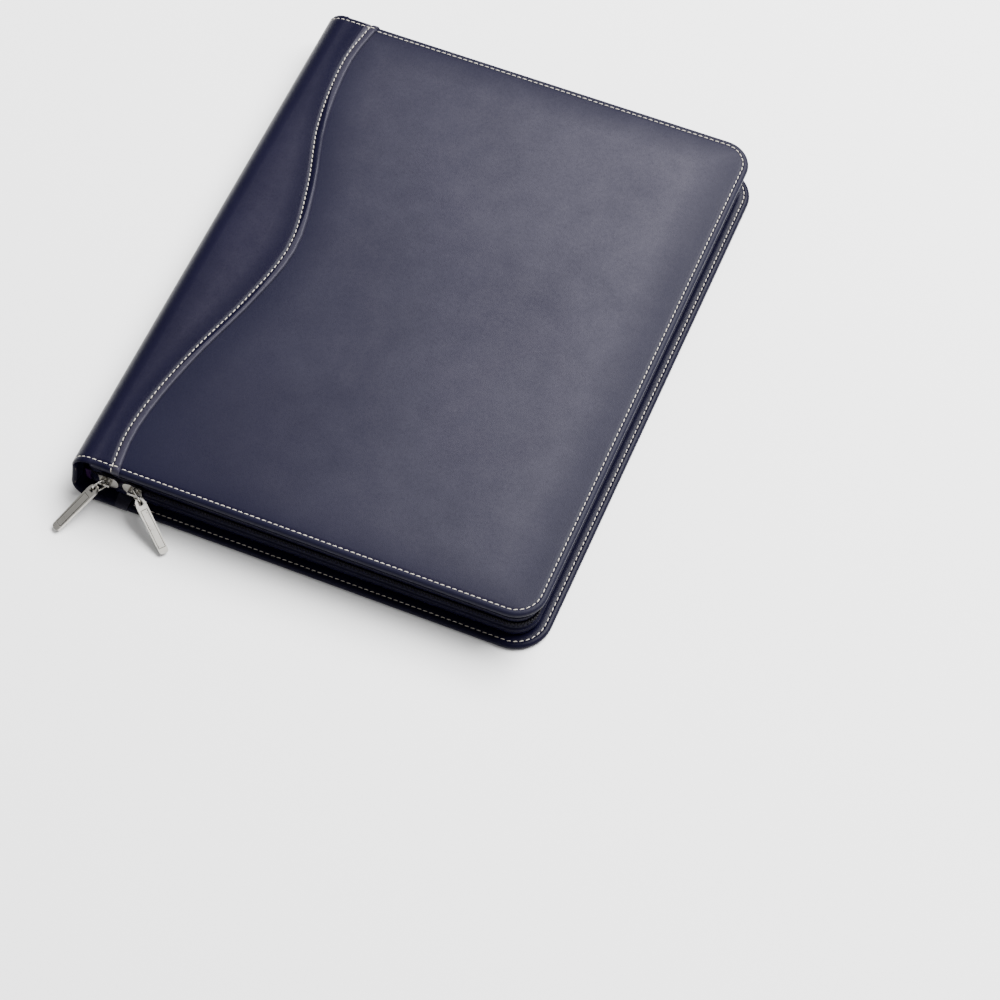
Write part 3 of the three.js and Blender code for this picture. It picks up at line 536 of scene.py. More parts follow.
upper_bend = bend(1, 5.1, seam_middle + welt, folded_edge)
lower_bend = bend(-1, 4.1, panel_end, butted_edge)
front_wrap = wrap("front_spine_wrap", upper_bend, lambda y: seam_x(y) - seam_middle)
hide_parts("front_spine_panel", "upper_fold_leather", "spine_leather", "spine_lining")
back_wrap = wrap("back_spine_wrap", lower_bend, lambda y: 0)
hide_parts("back_spine_panel", "lower_fold_leather")
front_rows = stitched("front_wrap_stitches", end_rows(upper_bend, 23), "leather_dark")
back_rows = stitched("back_wrap_stitches", end_rows(lower_bend, 14), "leather_dark")
for piece in (front_wrap, front_rows):
    metres(spine_face, 0, spine_top)
    metres(bend_x, 0, case_top)
    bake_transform(piece)
for piece in (back_wrap, back_rows):
    metres(bend_x, 0, 0)
    metres(spine_face, 0, spine_low)
    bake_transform(piece)


def over_the_end(side):
    """The last stitches of the curved seam, which follow the rolled end of the wrap down."""
    return [((seam_x(side * y), side * (y + out), z), (0, side * a, b)) for y, out, z, a, b in (
        (171, 1.6, 33.55, 0.3, 0.95), (173, 1.6, 32.7, 0.75, 0.65), (175, 0.3, 31.2, 1, 0.05))]


seam = [((seam_x(y), y, 33.65), (0, 0, 1)) for y in range(-170, 171, 2)]
curved_row = list(reversed(over_the_end(-1))) + seam + over_the_end(1)
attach(stitched("curved_seam_stitches", [curved_row], "leather_dark"), "front")

# Back cover: the same build as the front, 3 mm larger on three sides, so that its edge shows round
# the zip with a second line of stitches. It lies flat on the table.
back_fore, _, back_top = corners("back_cover_leather")[1]
back_edge = outline(panel_end + 0.2, back_fore, -back_head, back_head, (0, 21, 21, 0), 10)
back_profile = [(4.2, 0.0), (3.7, 0.2), (3.2, 0.2), (2.8, 0.0)] + rolled_edge + groove
back_profile += [(8.6, back_top), (8.9, back_top - 0.3), (9.0, back_top - 0.8)]
back_skin = mesh_piece("back_cover_skin", *rings(back_edge, back_profile), navy_leather, "leather_dark")
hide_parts("back_cover_leather")
row_start, row_end = panel_end + 1.6, back_head - stitch_inset
row = [(row_start, -row_end)] + inset(back_edge, stitch_inset)[1:-1] + [(row_start, row_end)]
flange_row = stitched("back_flange_stitches", [along(row, back_top - 0.05)], "leather_dark")
under_row = stitched("back_underside_stitches", [along(row, 0.2, (0, 0, -1))], "leather_dark")
for piece in (back_skin, flange_row, under_row):
    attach(piece, "back")

# Linings: thin blue-grey leather, one sheet in each cover. It is glued over the board and the turned-in
# leather, with its edge just inside the rolled rim.
lining_leather = leather("lining_leather", (0.0075, 0.0072, 0.0135), (0.0115, 0.0108, 0.02), 0.5, 0.6, 0.7)
for name, low, body in (("front_lining", 29.3, "front"), ("back_lining", 3.0, "back")):
    fore, half, _ = corners(name)[1]
    soft = [(0.5, 0), (0.1, 0.15), (0, 0.3), (0.1, 0.45), (0.5, 0.6)]
    shape = outline(bend_x + 0.5, fore, -half, half, (0.6, 12, 12, 0.6))
    lining = mesh_piece(name + "_skin", *rings(shape, soft, low), lining_leather, "lining")
    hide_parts(name)
    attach(lining, body)

# Zip gusset: a wall of plum fabric round three sides between the covers, faced with thin navy leather
# outside. A corded seam joins it to the zip tape, and the tape carries its row of the chain.
fabric, tree = surface("plum_fabric", {"Specular IOR Level": 0.04})
at = place_in(tree)
warp = node(tree, "TexWave", {"bands_direction": "DIAGONAL"},
            {"Vector": at, "Scale": 420.0, "Distortion": 0.4})
weft = node(tree, "TexWave", {"bands_direction": "Z"}, {"Vector": at, "Scale": 620.0, "Distortion": 0.4})
weave = warp * 0.5 + weft * 0.5
patches = weave * 0.6 + noise(tree, 60, 3, at) * 0.4
feed(tree, Base_Color=mix(tree, patches, (0.018, 0.006, 0.03), (0.046, 0.017, 0.076)),
     Roughness=noise(tree, 300, 2, at) * 0.1 + 0.75, bump=weave * 0.00012 + noise(tree, 150, 2, at) * 0.0002)
coil, tree = surface("dark_coil", {"Specular IOR Level": 0.03})
feed(tree, Base_Color=mix(tree, noise(tree, 500), (0.0008, 0.0006, 0.0014), (0.003, 0.0022, 0.005)),
     Roughness=noise(tree, 900) * 0.15 + 0.3)

tape_start, (tape_fore, tape_head, _) = corners("lower_zip_tape")[0][0], corners("lower_zip_tape")[1]
way_fore, way_head, way_radius = tape_fore - 0.75, tape_head - 0.75, 13
zip_middle = (corners("lower_zip_teeth")[0][2] + corners("upper_zip_teeth")[1][2]) / 2
chain_start, turn_pitch = -102.5, 1.7


def case_way(start):
    """The zip's way round the case from this x: foot, fore-edge, head. It is moved outwards by out."""
    def line(out):
        turn_x, turn_y = way_fore - way_radius, way_head - way_radius
        quarter = arc(way_radius + out, 0, 90, 10)
        points = [(start + (turn_x - start) * i / 40, -way_head - out) for i in range(40)]
        points += [(turn_x + b, -turn_y - a) for a, b in quarter]
        points += [(way_fore + out, -turn_y + 2 * turn_y * i / 48) for i in range(1, 48)]
        points += [(turn_x + a, turn_y + b) for a, b in quarter]
        return points + [(turn_x + (start - turn_x) * i / 40, way_head + out) for i in range(1, 41)]
    return line


def swept(name, way, section, outside, materials, slot):
    """A closed section of (outwards, z) drawn along a way. Its first faces are the outside."""
    lines = [way(out) for out, _ in section]
    loops = [[(*line[i], z) for line, (_, z) in zip(lines, section)] for i in range(len(lines[0]))]
    piece = mesh_piece(name, *loft(loops), materials, slot)
    for face in piece.data.polygons:
        face.material_index = 0 if face.index % len(section) < outside else 1
    return piece


def coil_row(name, way, flip, deep=1.0):
    """One row of the chain: turns of stiff nylon side by side along a way. The upper row is flipped, half
    a pitch further on."""
    levels = (15.1, 0.72, 1.35), (15.9, 0.7, 1.5), (16.8, 0.62, 1.4), (17.35, 0.4, 1.0)
    eight = (-1, -0.6), (-1, 0.6), (-0.6, 1), (0.6, 1), (1, 0.6), (1, -0.6), (0.6, -1), (-0.6, -1)
    middle, outer = way(0), way(1)
    turns, walked, next_turn = [], 0.0, 0.8 + turn_pitch / 2 * flip
    for a, b, c in zip(middle, middle[1:], outer):
        a, b = Vector(a), Vector(b)
        ahead = (b - a).normalized()
        side = (Vector(c) - a).normalized()
        while next_turn < walked + (b - a).length:
            centre = a + ahead * (next_turn - walked)
            loops = []
            for z, wide, thick in levels:
                ring = [centre + ahead * (u * wide) + side * (v * thick * deep) for u, v in eight]
                loops.append([(p.x, p.y, 2 * zip_middle - z if flip else z) for p in ring])
            turns.append(loft(loops))
            next_turn += turn_pitch
        walked += (b - a).length
    return mesh_piece(name, *joined(turns), coil, "zip_coil")


def upside_down(section):
    return [(out, 2 * zip_middle - z) for out, z in section]


belly = [(-1.7, 3.9), (-0.4, 4.1), (0.7, 5.2), (1.3, 6.8), (1.2, 8.4), (0.75, 9.3), (0.95, 9.7), (1.5, 10.0),
         (1.65, 10.45), (1.5, 10.9), (0.95, 11.2), (0.5, 11.5), (0.35, 13.0), (0.35, 15.4)]
hollow = [(-0.45, 15.4), (-0.45, 13.0), (-0.3, 11.3), (0.1, 10.2), (0.2, 8.4), (0.3, 6.9), (-0.2, 5.8),
          (-1.0, 5.1), (-1.8, 4.8)]
outer_way, chain_way = case_way(tape_start), case_way(chain_start)
for name, body, flip in (("lower_zip", "back", False), ("upper_zip", "front", True)):
    section = upside_down(belly + hollow) if flip else belly + hollow
    gusset = swept(name + "_gusset", outer_way, section, 13, [navy_leather, fabric], "zip_tape")
    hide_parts(name + "_tape")
    row = coil_row(name + "_coil", chain_way, flip)
    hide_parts(name + "_teeth")
    sewing = [((*a, 20.4 if flip else 12.6), (a[0] - b[0], a[1] - b[1], 0))
              for a, b in zip(outer_way(0.4), outer_way(-0.6))]
    seam_row = stitched(name + "_sewing", [sewing], "zip_tape", 2.6, 1.7, 0.45, 0, coil)
    for piece in (gusset, row, seam_row):
        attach(piece, body)

# Zip ends: at the foot and head of the spine the closed zip runs on, inside the spine, where it is
# sewn across with two rows. Pleats of the same fabric join it to the gusset walls of both covers.
end_start, end_tape = corners("head_zip_end")[0][1], corners("head_zip_end")[1][0]
end_radius, end_turn = 8, (-127.1, way_head - 8)


def end_way(side):
    """The closed zip's way from inside the spine round to the end of the case, -1 foot or 1 head."""
    def line(out):
        radius = end_radius + out
        turn_x, turn_y = end_turn
        points = [(turn_x - radius, side * (end_start + (turn_y - end_start) * i / 10)) for i in range(10)]
        points += [(turn_x - a, side * (turn_y + b)) for a, b in arc(radius, 0, 90, 8)]
        return points + [(turn_x + (end_tape - turn_x) * i / 6, side * (way_head + out)) for i in range(1, 7)]
    return line


def pleat(name, columns, heights, side, depth, cover, at_cover, at_spine):
    """A flat piece of fabric across the end of the case."""
    near, far = depth
    loops = [[(x, side * near, z) for z in heights] + [(x, side * far, z) for z in reversed(heights)]
             for x in columns]
    piece = mesh_piece(name, *loft(loops), fabric, "zip_tape")
    if cover == "back":
        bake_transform(piece)
    else:
        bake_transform(piece)


pleat_fore, pleat_run, pleat_at_cover, pleat_at_spine = -115.2, 11.4, -116, -126.2
corner_fore, corner_at_spine, corner_rise, corner_drop = -121.2, -135.2, 12.8, 3.8
edge_cord = [(0.2, 6.5), (0.5, 6.8), (0.6, 7.5), (0.5, 8.2), (0.2, 8.6), (0.2, 12), (0.2, 15.2)]
inner_cord = [(-0.2, 8.6), (-0.5, 8.2), (-0.6, 7.5), (-0.5, 6.8), (-0.2, 6.5)]
strip = edge_cord + upside_down(edge_cord[::-1]) + upside_down(inner_cord[::-1]) + inner_cord
for name, side in (("foot_zip_end", -1), ("head_zip_end", 1)):
    way = end_way(side)
    tape = swept(name + "_fabric", way, strip, 13, [navy_leather, fabric], "zip_tape")
    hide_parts(name)
    across = [[((x, side * y, half_height + 1.5 * i), (1, 0, 0)) for i in range(-6, 7)]
              for x, y in ((-134.5, 142), (-135.75, 136))]
    low_row = coil_row(name + "_coil_low", way, False, 0.45)
    high_row = coil_row(name + "_coil_high", way, True, 0.45)
    for piece in (tape, stitched(name + "_stitches", across, "zip_tape", 3.2, 2.3, 0.7), low_row, high_row):
        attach(piece, "spine")
    for up, cover in ((-1, "back"), (1, "front")):
        pleat(name + "_pleat_" + cover, [pleat_fore - pleat_run * i / 14 for i in range(15)],
              [zip_middle + up * (0.4 + 2 * k) for k in range(7)], side, (168.4, 169.1), cover,
              metres(pleat_at_cover, 0, zip_middle), metres(pleat_at_spine, 0, zip_middle))
        pleat(name + "_pleat_corner_" + cover, [corner_fore - i for i in range(15)],
              [half_height + up * (corner_rise - 0.9 * k) for k in range(11)], side, (167.8, 168.3), cover,
              metres(pleat_at_spine, 0, half_height + up * corner_rise),
              metres(corner_at_spine, 0, half_height + up * corner_drop))

# Sliders, links and pull tabs: polished nickel castings. Each link is a bent wire that hangs in the
# slider's bail, and each tab hangs in its link.
nickel, tree = surface("polished_nickel", {"Metallic": 1.0})
rubbed = noise(tree, 700, 3)
feed(tree, Base_Color=mix(tree, rubbed, (0.36, 0.345, 0.315), (0.5, 0.48, 0.44)),
     Roughness=rubbed * 0.16 + 0.16, bump=noise(tree, 300, 2) * 0.00003)
joint_at = {joint["name"]: joint["pos_m"] for joint in frame["record"]["behaviour"]["joints"]}
link_reach, link_half, wire_radius = 8, 3.7, 0.6
tab_droop, tab_middle = math.radians(29.4), 0.0165
frame_half_width, frame_half_length, frame_line = 0.0019, 0.0115, 0.00016


def eased(piece, width):
    """Rounds off the sharp edges of a piece by width, in millimetres."""
    bevel = piece.modifiers.new("eased", "BEVEL")
    bevel.width = width * MM
    bevel.segments = 2
    bevel.limit_method = "ANGLE"


def rounded(name, material, width):
    """A CAD piece in its own material, with its sharp edges eased."""
    eased(in_material(name, material), width)


def wire(path, normal, radius, sides=10):
    """A closed ring of round wire along a flat path."""
    loops = []
    for i, point in enumerate(path):
        ahead = (Vector(path[(i + 1) % len(path)]) - Vector(path[i - 1])).normalized()
        out = ahead.cross(normal)
        loops.append([Vector(point) + out * a + normal * b for a, b in circle(radius, sides)])
    return loft(loops, ring=True)


def engraved(name, eye, ahead):
    """Nickel for a pull tab, with a plain frame line cut into its faces and painted near black there as
    painted shade in the cut. The tab runs ahead from its eye and droops."""
    material, tree = surface(name, {"Metallic": 1.0})
    x, y = in_plan(tree)
    x, y = x - eye.x * MM, y - eye.y * MM
    along_tab = (x * ahead.x + y * ahead.y) * (1 / math.cos(tab_droop)) - tab_middle
    across = y * ahead.x - x * ahead.y
    to_side = (frame_half_width - across).least(frame_half_width + across)
    to_end = (frame_half_length - along_tab).least(frame_half_length + along_tab)
    to_frame = to_side.least(to_end)
    # Painted shade: the frame line is painted near black, standing in for the shade in the cut.
    line = (to_frame > -frame_line) * (to_frame < frame_line)
    rubbed = noise(tree, 260, 2)
    bright = mix(tree, rubbed, (0.47, 0.455, 0.42), (0.56, 0.54, 0.5))
    feed(tree, Base_Color=mix(tree, line, bright, (0.035, 0.032, 0.03)),
         Roughness=rubbed * 0.1 + 0.24 + line * 0.2, bump=rubbed * 0.000006 - line * 0.00006)
    return material


for name in ("parked", "travelling"):
    pivot, eye = (Vector(joint_at[name + move]) / MM for move in ("_link_swivel", "_tab_lift"))
    ahead = (eye - pivot).normalized()
    link_shape = outline(0, link_reach, -link_half, link_half, (1.4, 1.4, 1.4, 1.4), 5)
    path = [pivot + ahead * s + Vector((0, 0, h)) for s, h in link_shape]
    bent_wire = wire(path, ahead.cross(Vector((0, 0, 1))), wire_radius)
    ring = mesh_piece(name + "_link_wire", *bent_wire, nickel, "nickel")
    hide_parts(name + "_slider_link")
    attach(ring, name + "_link")
    rounded(name + "_slider_body", nickel, 0.35)
    rounded(name + "_pull_tab", engraved(name + "_tab_nickel", eye, ahead), 0.35)

# Pen: a brushed silver cap with a bright ring at its mouth, a clip that stands over a black inlay,
# and a barrel in dark blue lacquer. It lies in the sleeve, with its cap towards the head.
silver, tree = surface("brushed_silver", {"Metallic": 1.0})
at = node(tree, "Mapping", {}, {"Vector": place_in(tree), "Scale": (1.0, 0.04, 1.0)})
brushed = noise(tree, 3000, 3, at)
feed(tree, Base_Color=mix(tree, brushed, (0.5, 0.48, 0.44), (0.72, 0.7, 0.66)),
     Roughness=brushed * 0.2 + 0.18, bump=brushed * 0.00002)
shine = {"Specular IOR Level": 0.3, "Coat Weight": 0.3, "Coat Roughness": 0.06}
lacquer, tree = surface("blue_lacquer", shine)
feed(tree, Base_Color=mix(tree, noise(tree, 400, 3), (0.006, 0.008, 0.026), (0.01, 0.013, 0.04)),
     Roughness=noise(tree, 90, 3) * 0.12 + 0.2)
black_inlay, tree = surface("black_inlay", {"Coat Weight": 0.4, "Coat Roughness": 0.1})
feed(tree, Base_Color=mix(tree, noise(tree, 600), (0.003, 0.003, 0.004), (0.008, 0.008, 0.01)),
     Roughness=noise(tree, 300) * 0.1 + 0.25)
pen_x, _, pen_z = (round(c / MM, 3) for c in joint_at["pen_slide"])


def turned(name, profile, material, slot, sides=32):
    """A turned piece along the pen: profile is (y, radius)."""
    loops = [[(pen_x + a, y, pen_z + b) for a, b in circle(radius, sides)] for y, radius in profile]
    return mesh_piece(name, *loft(loops), material, slot)


barrel_profile = [(-42, 3.2), (-41.8, 3.9), (-41, 4.5), (-37, 4.9), (-25, 5.5), (-8, 5.9), (20, 6),
                  (45, 5.95), (60, 5.8), (62.2, 5.7), (62.6, 5.5), (62.65, 4.6), (86, 4.3), (88, 3.2),
                  (90, 2.4), (96, 0.6)]
barrel = turned("pen_barrel_turned", barrel_profile, lacquer, "pen_barrel")
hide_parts("pen_barrel")
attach(barrel, "pen")
cap_radius, cap_taper_from = 5.48, 85
cap_profile = [(63.0, 4.9), (63.1, 5.35), (63.4, 5.5), (66.6, 5.5), (66.8, 5.3), (67.2, 5.3),
               (67.4, cap_radius), (cap_taper_from, 5.45), (100, 5.2), (110, 4.8), (116, 4.3), (119, 3.7),
               (121.2, 2.9), (122.4, 1.9), (122.9, 0.8)]
cap = turned("pen_cap_turned", cap_profile, silver, "pen_silver")
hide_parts("pen_cap")


def on_cap(y, spread, lift):
    """A point over the cap's front, spread sideways along its curve."""
    radius = cap_radius - 0.0006 * max(0, y - cap_taper_from) ** 2 + lift
    a = spread / radius
    return (pen_x + radius * math.cos(a), y, pen_z + radius * math.sin(a))


def leaf(name, stations, depth, material, slot):
    """A curved blade over the cap: (y, half width, height above the cap)."""
    loops = []
    for y, half, lift in stations:
        across = [half * (-1 + i / 4) for i in range(9)]
        crown = [(spread, lift + 0.3 * (1 - (spread / half) ** 2)) for spread in across]
        under = [on_cap(y, p, lift - depth) for p in reversed(across)]
        loops.append([on_cap(y, p, q) for p, q in crown] + under)
    return mesh_piece(name, *loft(loops), material, slot)


inlay_stations = [(79, 0.3, 0.0), (82, 1.3, 0.05), (88, 2.1, 0.05), (98, 2.5, 0.05), (108, 2.3, 0.05),
                  (113, 1.6, 0.05), (115.5, 0.4, 0.0)]
inlay = leaf("pen_cap_inlay", inlay_stations, 0.4, black_inlay, "pen_barrel")
clip_stations = [(79.5, 0.5, 0.55), (80.5, 1.0, 0.4), (83, 1.15, 0.5), (90, 1.2, 0.9), (102, 1.3, 1.0),
                 (110, 1.45, 0.85), (114, 1.5, 0.5), (117, 1.3, 0.1)]
clip = leaf("pen_clip_blade", clip_stations, 0.5, silver, "pen_silver")
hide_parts("pen_clip")
for piece in (cap, inlay, clip):
    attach(piece, "pen_top")

# Pen sleeve: one piece of dark navy leather, moulded over the pen and sewn to the spine lining along both
# sides and round the foot. The mouth is open towards the head.
sleeve_half, sleeve_mouth, sleeve_turn, sleeve_floor = 9.5, 55, -48.5, -135.55
closing_from, closing_over = -39, 15


def hump(radius, lift):
    """Half of the moulded section, from the flange in to the crown: (across, out from the lining)."""
    side = [(sleeve_half - 0.05, lift), (sleeve_half - 0.6, lift + 0.06), (sleeve_half - 1.2, lift + 0.3),
            (radius + 0.55, lift + 1.2), (radius + 0.25, 4.0)]
    return side + [(a, 6.6 + b) for a, b in arc(radius, -8, 98, 7)]


loops = []
for y in [sleeve_mouth - 0.2, sleeve_mouth - 0.9] + [50 - 5 * i for i in range(18)] + [
        -37, -39, -41, -43, -45, -47, -48.5, -50, -51.5, -53, -54.3, -55.5, -56.5, -57.3, -57.8]:
    closed = min(1, max(0, closing_from - y) / closing_over)
    height = 0.04 + 0.96 * math.cos(math.radians(90 * closed)) ** 0.7
    past_turn = max(0, sleeve_turn - y)
    wide = math.sqrt(max(0.2, sleeve_half ** 2 - past_turn ** 2)) / sleeve_half
    outer = [(a * wide, b * height) for a, b in hump(7.25, 0.8)]
    inner = [(a * wide, b * height) for a, b in hump(6.35, 0.1)]
    flat = [(a, max(b, 0.85 if i < 3 else b)) for i, (a, b) in enumerate(outer)]
    section = flat + [(-a, b) for a, b in flat[::-1] + inner] + inner[::-1]
    loops.append([(sleeve_floor + out, y, pen_z + across) for across, out in section])
sleeve_leather = leather("sleeve_leather", (0.0035, 0.0034, 0.011), (0.006, 0.0058, 0.017), 0.36, 0.7, 0.8,
                         gloss=0.08)
sleeve = mesh_piece("pen_sleeve_moulded", *loft(loops), sleeve_leather, "leather_dark")
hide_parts("pen_sleeve")
row_half = sleeve_half - 0.7
round_foot = [(sleeve_turn - a, pen_z + b) for a, b in arc(row_half, -90, 180, 18)]
row = [(sleeve_mouth - 1, pen_z - row_half)] + round_foot + [(sleeve_mouth - 1, pen_z + row_half)]
path = [((sleeve_floor + 0.93, y, z), (1, 0, 0)) for y, z in row]
for piece in (sleeve, stitched("pen_sleeve_stitches", [path], "leather_dark", 3.4, 2.5, 0.7)):
    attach(piece, "spine")

# Writing pad: a brown backboard, leaves that lie a hair out of line with the top one ruled, and a
# strip of brown card folded over the head. It slips behind the leather band of the back cover.


def writing_paper(name, ruled=False):
    """White paper, bare or ruled with thin grey-blue lines 8.8 mm apart."""
    material, tree = surface(name, {"Specular IOR Level": 0.2})
    tone = mix(tree, noise(tree, 40, 3), (0.8, 0.79, 0.75), (0.87, 0.865, 0.83))
    if ruled:
        _, y = in_plan(tree)
        ink = mix(tree, noise(tree, 500, 2), (0.2, 0.24, 0.27), (0.3, 0.34, 0.36))
        tone = mix(tree, (y + 1.0).remainder(0.0088) < 0.0006, tone, ink)
    feed(tree, Base_Color=tone, Roughness=noise(tree, 900, 2) * 0.1 + 0.8,
         bump=noise(tree, 1800, 2) * 0.00001)
    return material


paper, ruled_paper = writing_paper("white_paper"), writing_paper("ruled_paper", ruled=True)
brown_card, tree = surface("brown_card", {"Specular IOR Level": 0.05})
fibres = noise(tree, 1500, 4)
patches = fibres * 0.5 + noise(tree, 60, 3) * 0.5
feed(tree, Base_Color=mix(tree, patches, (0.04, 0.017, 0.011), (0.075, 0.035, 0.024)),
     Roughness=fibres * 0.2 + 0.6, bump=fibres * 0.00004)
(x0, y0, z0), (x1, y1, z1) = corners("pad_sheets")
chance = random.Random(7)
leaves, leaf_count = [], 12
for i in range(leaf_count):
    dx, dy = chance.uniform(-0.25, 0.25), chance.uniform(-0.3, 0.1)
    sheet = outline(x0 + 0.2 + dx, x1 - 0.2 + dx, y0 + 0.2 + dy, y1 - 0.2 + dy)
    leaves.append(rings(sheet, [(0, 0.03), (0, 0.40)], z0 + (z1 - z0) * i / leaf_count))
pad_leaves = mesh_piece("pad_leaves", *joined(leaves), [paper, ruled_paper], "paper", smooth=False)
for face in pad_leaves.data.polygons:
    if face.center.z > (z1 - 0.18) * MM:
        face.material_index = 1
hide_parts("pad_sheets")
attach(pad_leaves, "pad")
for name in ("pad_backboard", "pad_binding"):
    rounded(name, brown_card, 0.15)

# Pad pocket: a band of leather right across the back cover, folded under at the spine and fore-edge
# and sewn along its head, foot and spine sides. The pad's backboard slides in behind it.
panel_inside = leather("organiser_leather", (0.0085, 0.008, 0.0145), (0.0125, 0.0118, 0.021), 0.45, 0.65, 0.8)
(x0, y0, z0), (x1, y1, z1) = corners("pad_pocket_band")
face_side = [(x0, z0), (x0, z1 - 0.6), (x0 + 0.4, z1 - 0.1), (x0 + 1, z1), (x1 - 1, z1), (x1 - 0.4, z1 - 0.1),
             (x1, z1 - 0.6), (x1, z0)]
pad_side = [(x1 - 0.8, z0), (x1 - 0.8, z0 + 1.6), (x1 - 1.2, z0 + 1.8), (x0 + 1.2, z0 + 1.8),
            (x0 + 0.8, z0 + 1.6), (x0 + 0.8, z0)]
band_loops = [[(x, y, z) for x, z in face_side + pad_side] for y in (y0, y0 + 0.2, y1 - 0.2, y1)]
band = mesh_piece("pad_pocket_leather", *loft(band_loops), panel_inside, "lining", smooth=False)
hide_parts("pad_pocket_band")
row_x, row_z, row_reach = x0 + 2.5, z1 - 0.05, 166
band_rows = [along([(row_x, y0 + 2), (row_x, y1 - 2)], row_z),
             along([(row_x, y1 + 1.5), (row_x, row_reach)], z0),
             along([(row_x, -row_reach), (row_x, y0 - 1.5)], z0)]
band_rows += [along([(x0 + 4, y), (x1 - 2, y)], row_z) for y in (y1 - 2.4, y0 + 2.4)]
for piece in (band, stitched("pad_pocket_stitches", band_rows, "lining", 3.2, 2.3, 0.65)):
    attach(piece, "back")

# Organiser in the front cover: leather panels one over another, each turned in and sewn along its free
# edges. The main panel has a scooped fore-edge, and a zip in a sewn slot.
down = (0, 0, -1)
soft_corners = (0.5, 1.5, 1.5, 0.5)
leather_thick = 0.8
(left, foot, main_face), (fore, head, _) = corners("organiser_panel")
scoop_depth, scoop_foot, scoop_head, scoop_step = 11, -115, 109, 3.5
slot_x, slot_foot, slot_head = round(joint_at["pocket_slider_run"][0] / MM, 3), -119, 149


def panel(name, outer, low, high, material, slot, body, cad=(), holes=(), lean=lambda x, y, z: (x, y, z)):
    """A thin flat piece between two heights, with holes, that rides a body in place of CAD nodes. lean
    sets its points at a slant. Its edges are eased."""
    loops = [outer, *holes]
    flat = [p for loop in loops for p in loop]
    cells = [tuple(cell) for cell in tessellate_polygon([[(x, y, 0) for x, y in loop] for loop in loops])]
    n, start = len(flat), 0
    faces = cells + [tuple(n + i for i in cell) for cell in cells]
    for loop in loops:
        for i in range(len(loop)):
            a, b = start + i, start + (i + 1) % len(loop)
            faces.append((a, b, n + b, n + a))
        start += len(loop)
    points = [lean(x, y, low) for x, y in flat] + [lean(x, y, high) for x, y in flat]
    piece = mesh_piece(name, points, faces, material, slot, smooth=False)
    eased(piece, (high - low) * 0.3)
    if cad:
        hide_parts(*cad)
    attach(piece, body)


def leather_panel(name, outer, low, high, *more):
    """A panel of the organiser's leather. What follows its heights is as for any other panel."""
    panel(name, outer, low, high, panel_inside, "leather_panel", "front", *more)


def flat_node(name, radii=(0, 0, 0, 0)):
    """The outline and the two heights of a flat CAD node."""
    (x0, y0, z0), (x1, y1, z1) = corners(name)
    return outline(x0, x1, y0, y1, radii, 3), z0, z1


def sewn(name, rows, z):
    """Stitch rows on a panel's face that looks down, given as lists of (x, y)."""
    paths = [along(row, z + 0.05, down) for row in rows]
    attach(stitched(name, paths, "leather_panel", 3.2, 2.3, 0.65), "front")


def scoop(shift):
    """The main panel's fore-edge from foot to head, moved towards the spine by shift."""
    edge = [(fore - shift, foot + 2), (fore - shift, scoop_foot)]
    swing = [(1 - math.cos(math.pi * i / 10)) / 2 for i in range(1, 11)]
    edge += [(fore - shift - scoop_depth * s, scoop_foot + scoop_step * i) for i, s in enumerate(swing, 1)]
    deep_x = fore - scoop_depth - shift
    edge += [(deep_x, scoop_head)]
    return edge + [(deep_x + scoop_depth * s, scoop_head + scoop_step * i) for i, s in enumerate(swing, 1)]


main_edge = [(left, foot), (fore, foot)] + scoop(0) + [(fore, head), (left, head)]
zip_slot = outline(slot_x - 3.75, slot_x + 3.75, slot_foot, slot_head, (1, 1, 1, 1), 3)
leather_panel("organiser_main_panel", main_edge, main_face, main_face + leather_thick, ("organiser_panel",),
              [zip_slot])
lip_x0, lip_x1 = left + 1.5, fore - 0.2
for name, x0, x1, y0, y1 in (("spine", left, left + 1, foot, head), ("head", lip_x0, lip_x1, head - 1, head),
                             ("foot", lip_x0, lip_x1, foot, foot + 1)):
    leather_panel("organiser_lip_" + name, outline(x0, x1, y0, y1), main_face + 0.6, main_face + 3.3)
slot_row = outline(slot_x - 6.9, slot_x + 6.9, slot_foot - 2.8, slot_head + 2.8)
edge_row = scoop(3)[1:] + [(fore - 3, head - 3), (12, head - 3)]
sewn("organiser_main_stitches", [[(13, -141), (82, -141)], edge_row, slot_row + [slot_row[0]]], main_face)

# Slip pocket and card panel: two more leaves of the same leather over the main panel, each narrower than
# the one behind it. Both are turned in and sewn along head and fore-edge, the slip pocket at its foot too.
(_, y0, slip_face), (x1, y1, _) = corners("slip_pocket_panel")
leather_panel("slip_panel", *flat_node("slip_pocket_panel", soft_corners), ("slip_pocket_panel",))
slip_row = [(x1 - 29.5, y0 + 2.5), (x1 - 2.9, y0 + 2.5), (x1 - 2.9, y1 - 3), (x1 - 29.5, y1 - 3)]
sewn("slip_stitches", [slip_row], slip_face)
(x0, _, card_face), (x1, y1, _) = corners("card_panel")
leather_panel("card_backing", *flat_node("card_panel", soft_corners), ("card_panel",))
sewn("card_backing_stitches", [[(x0 + 2.5, y1 - 3), (x1 - 2.7, y1 - 3), (x1 - 2.7, 10)]], card_face)

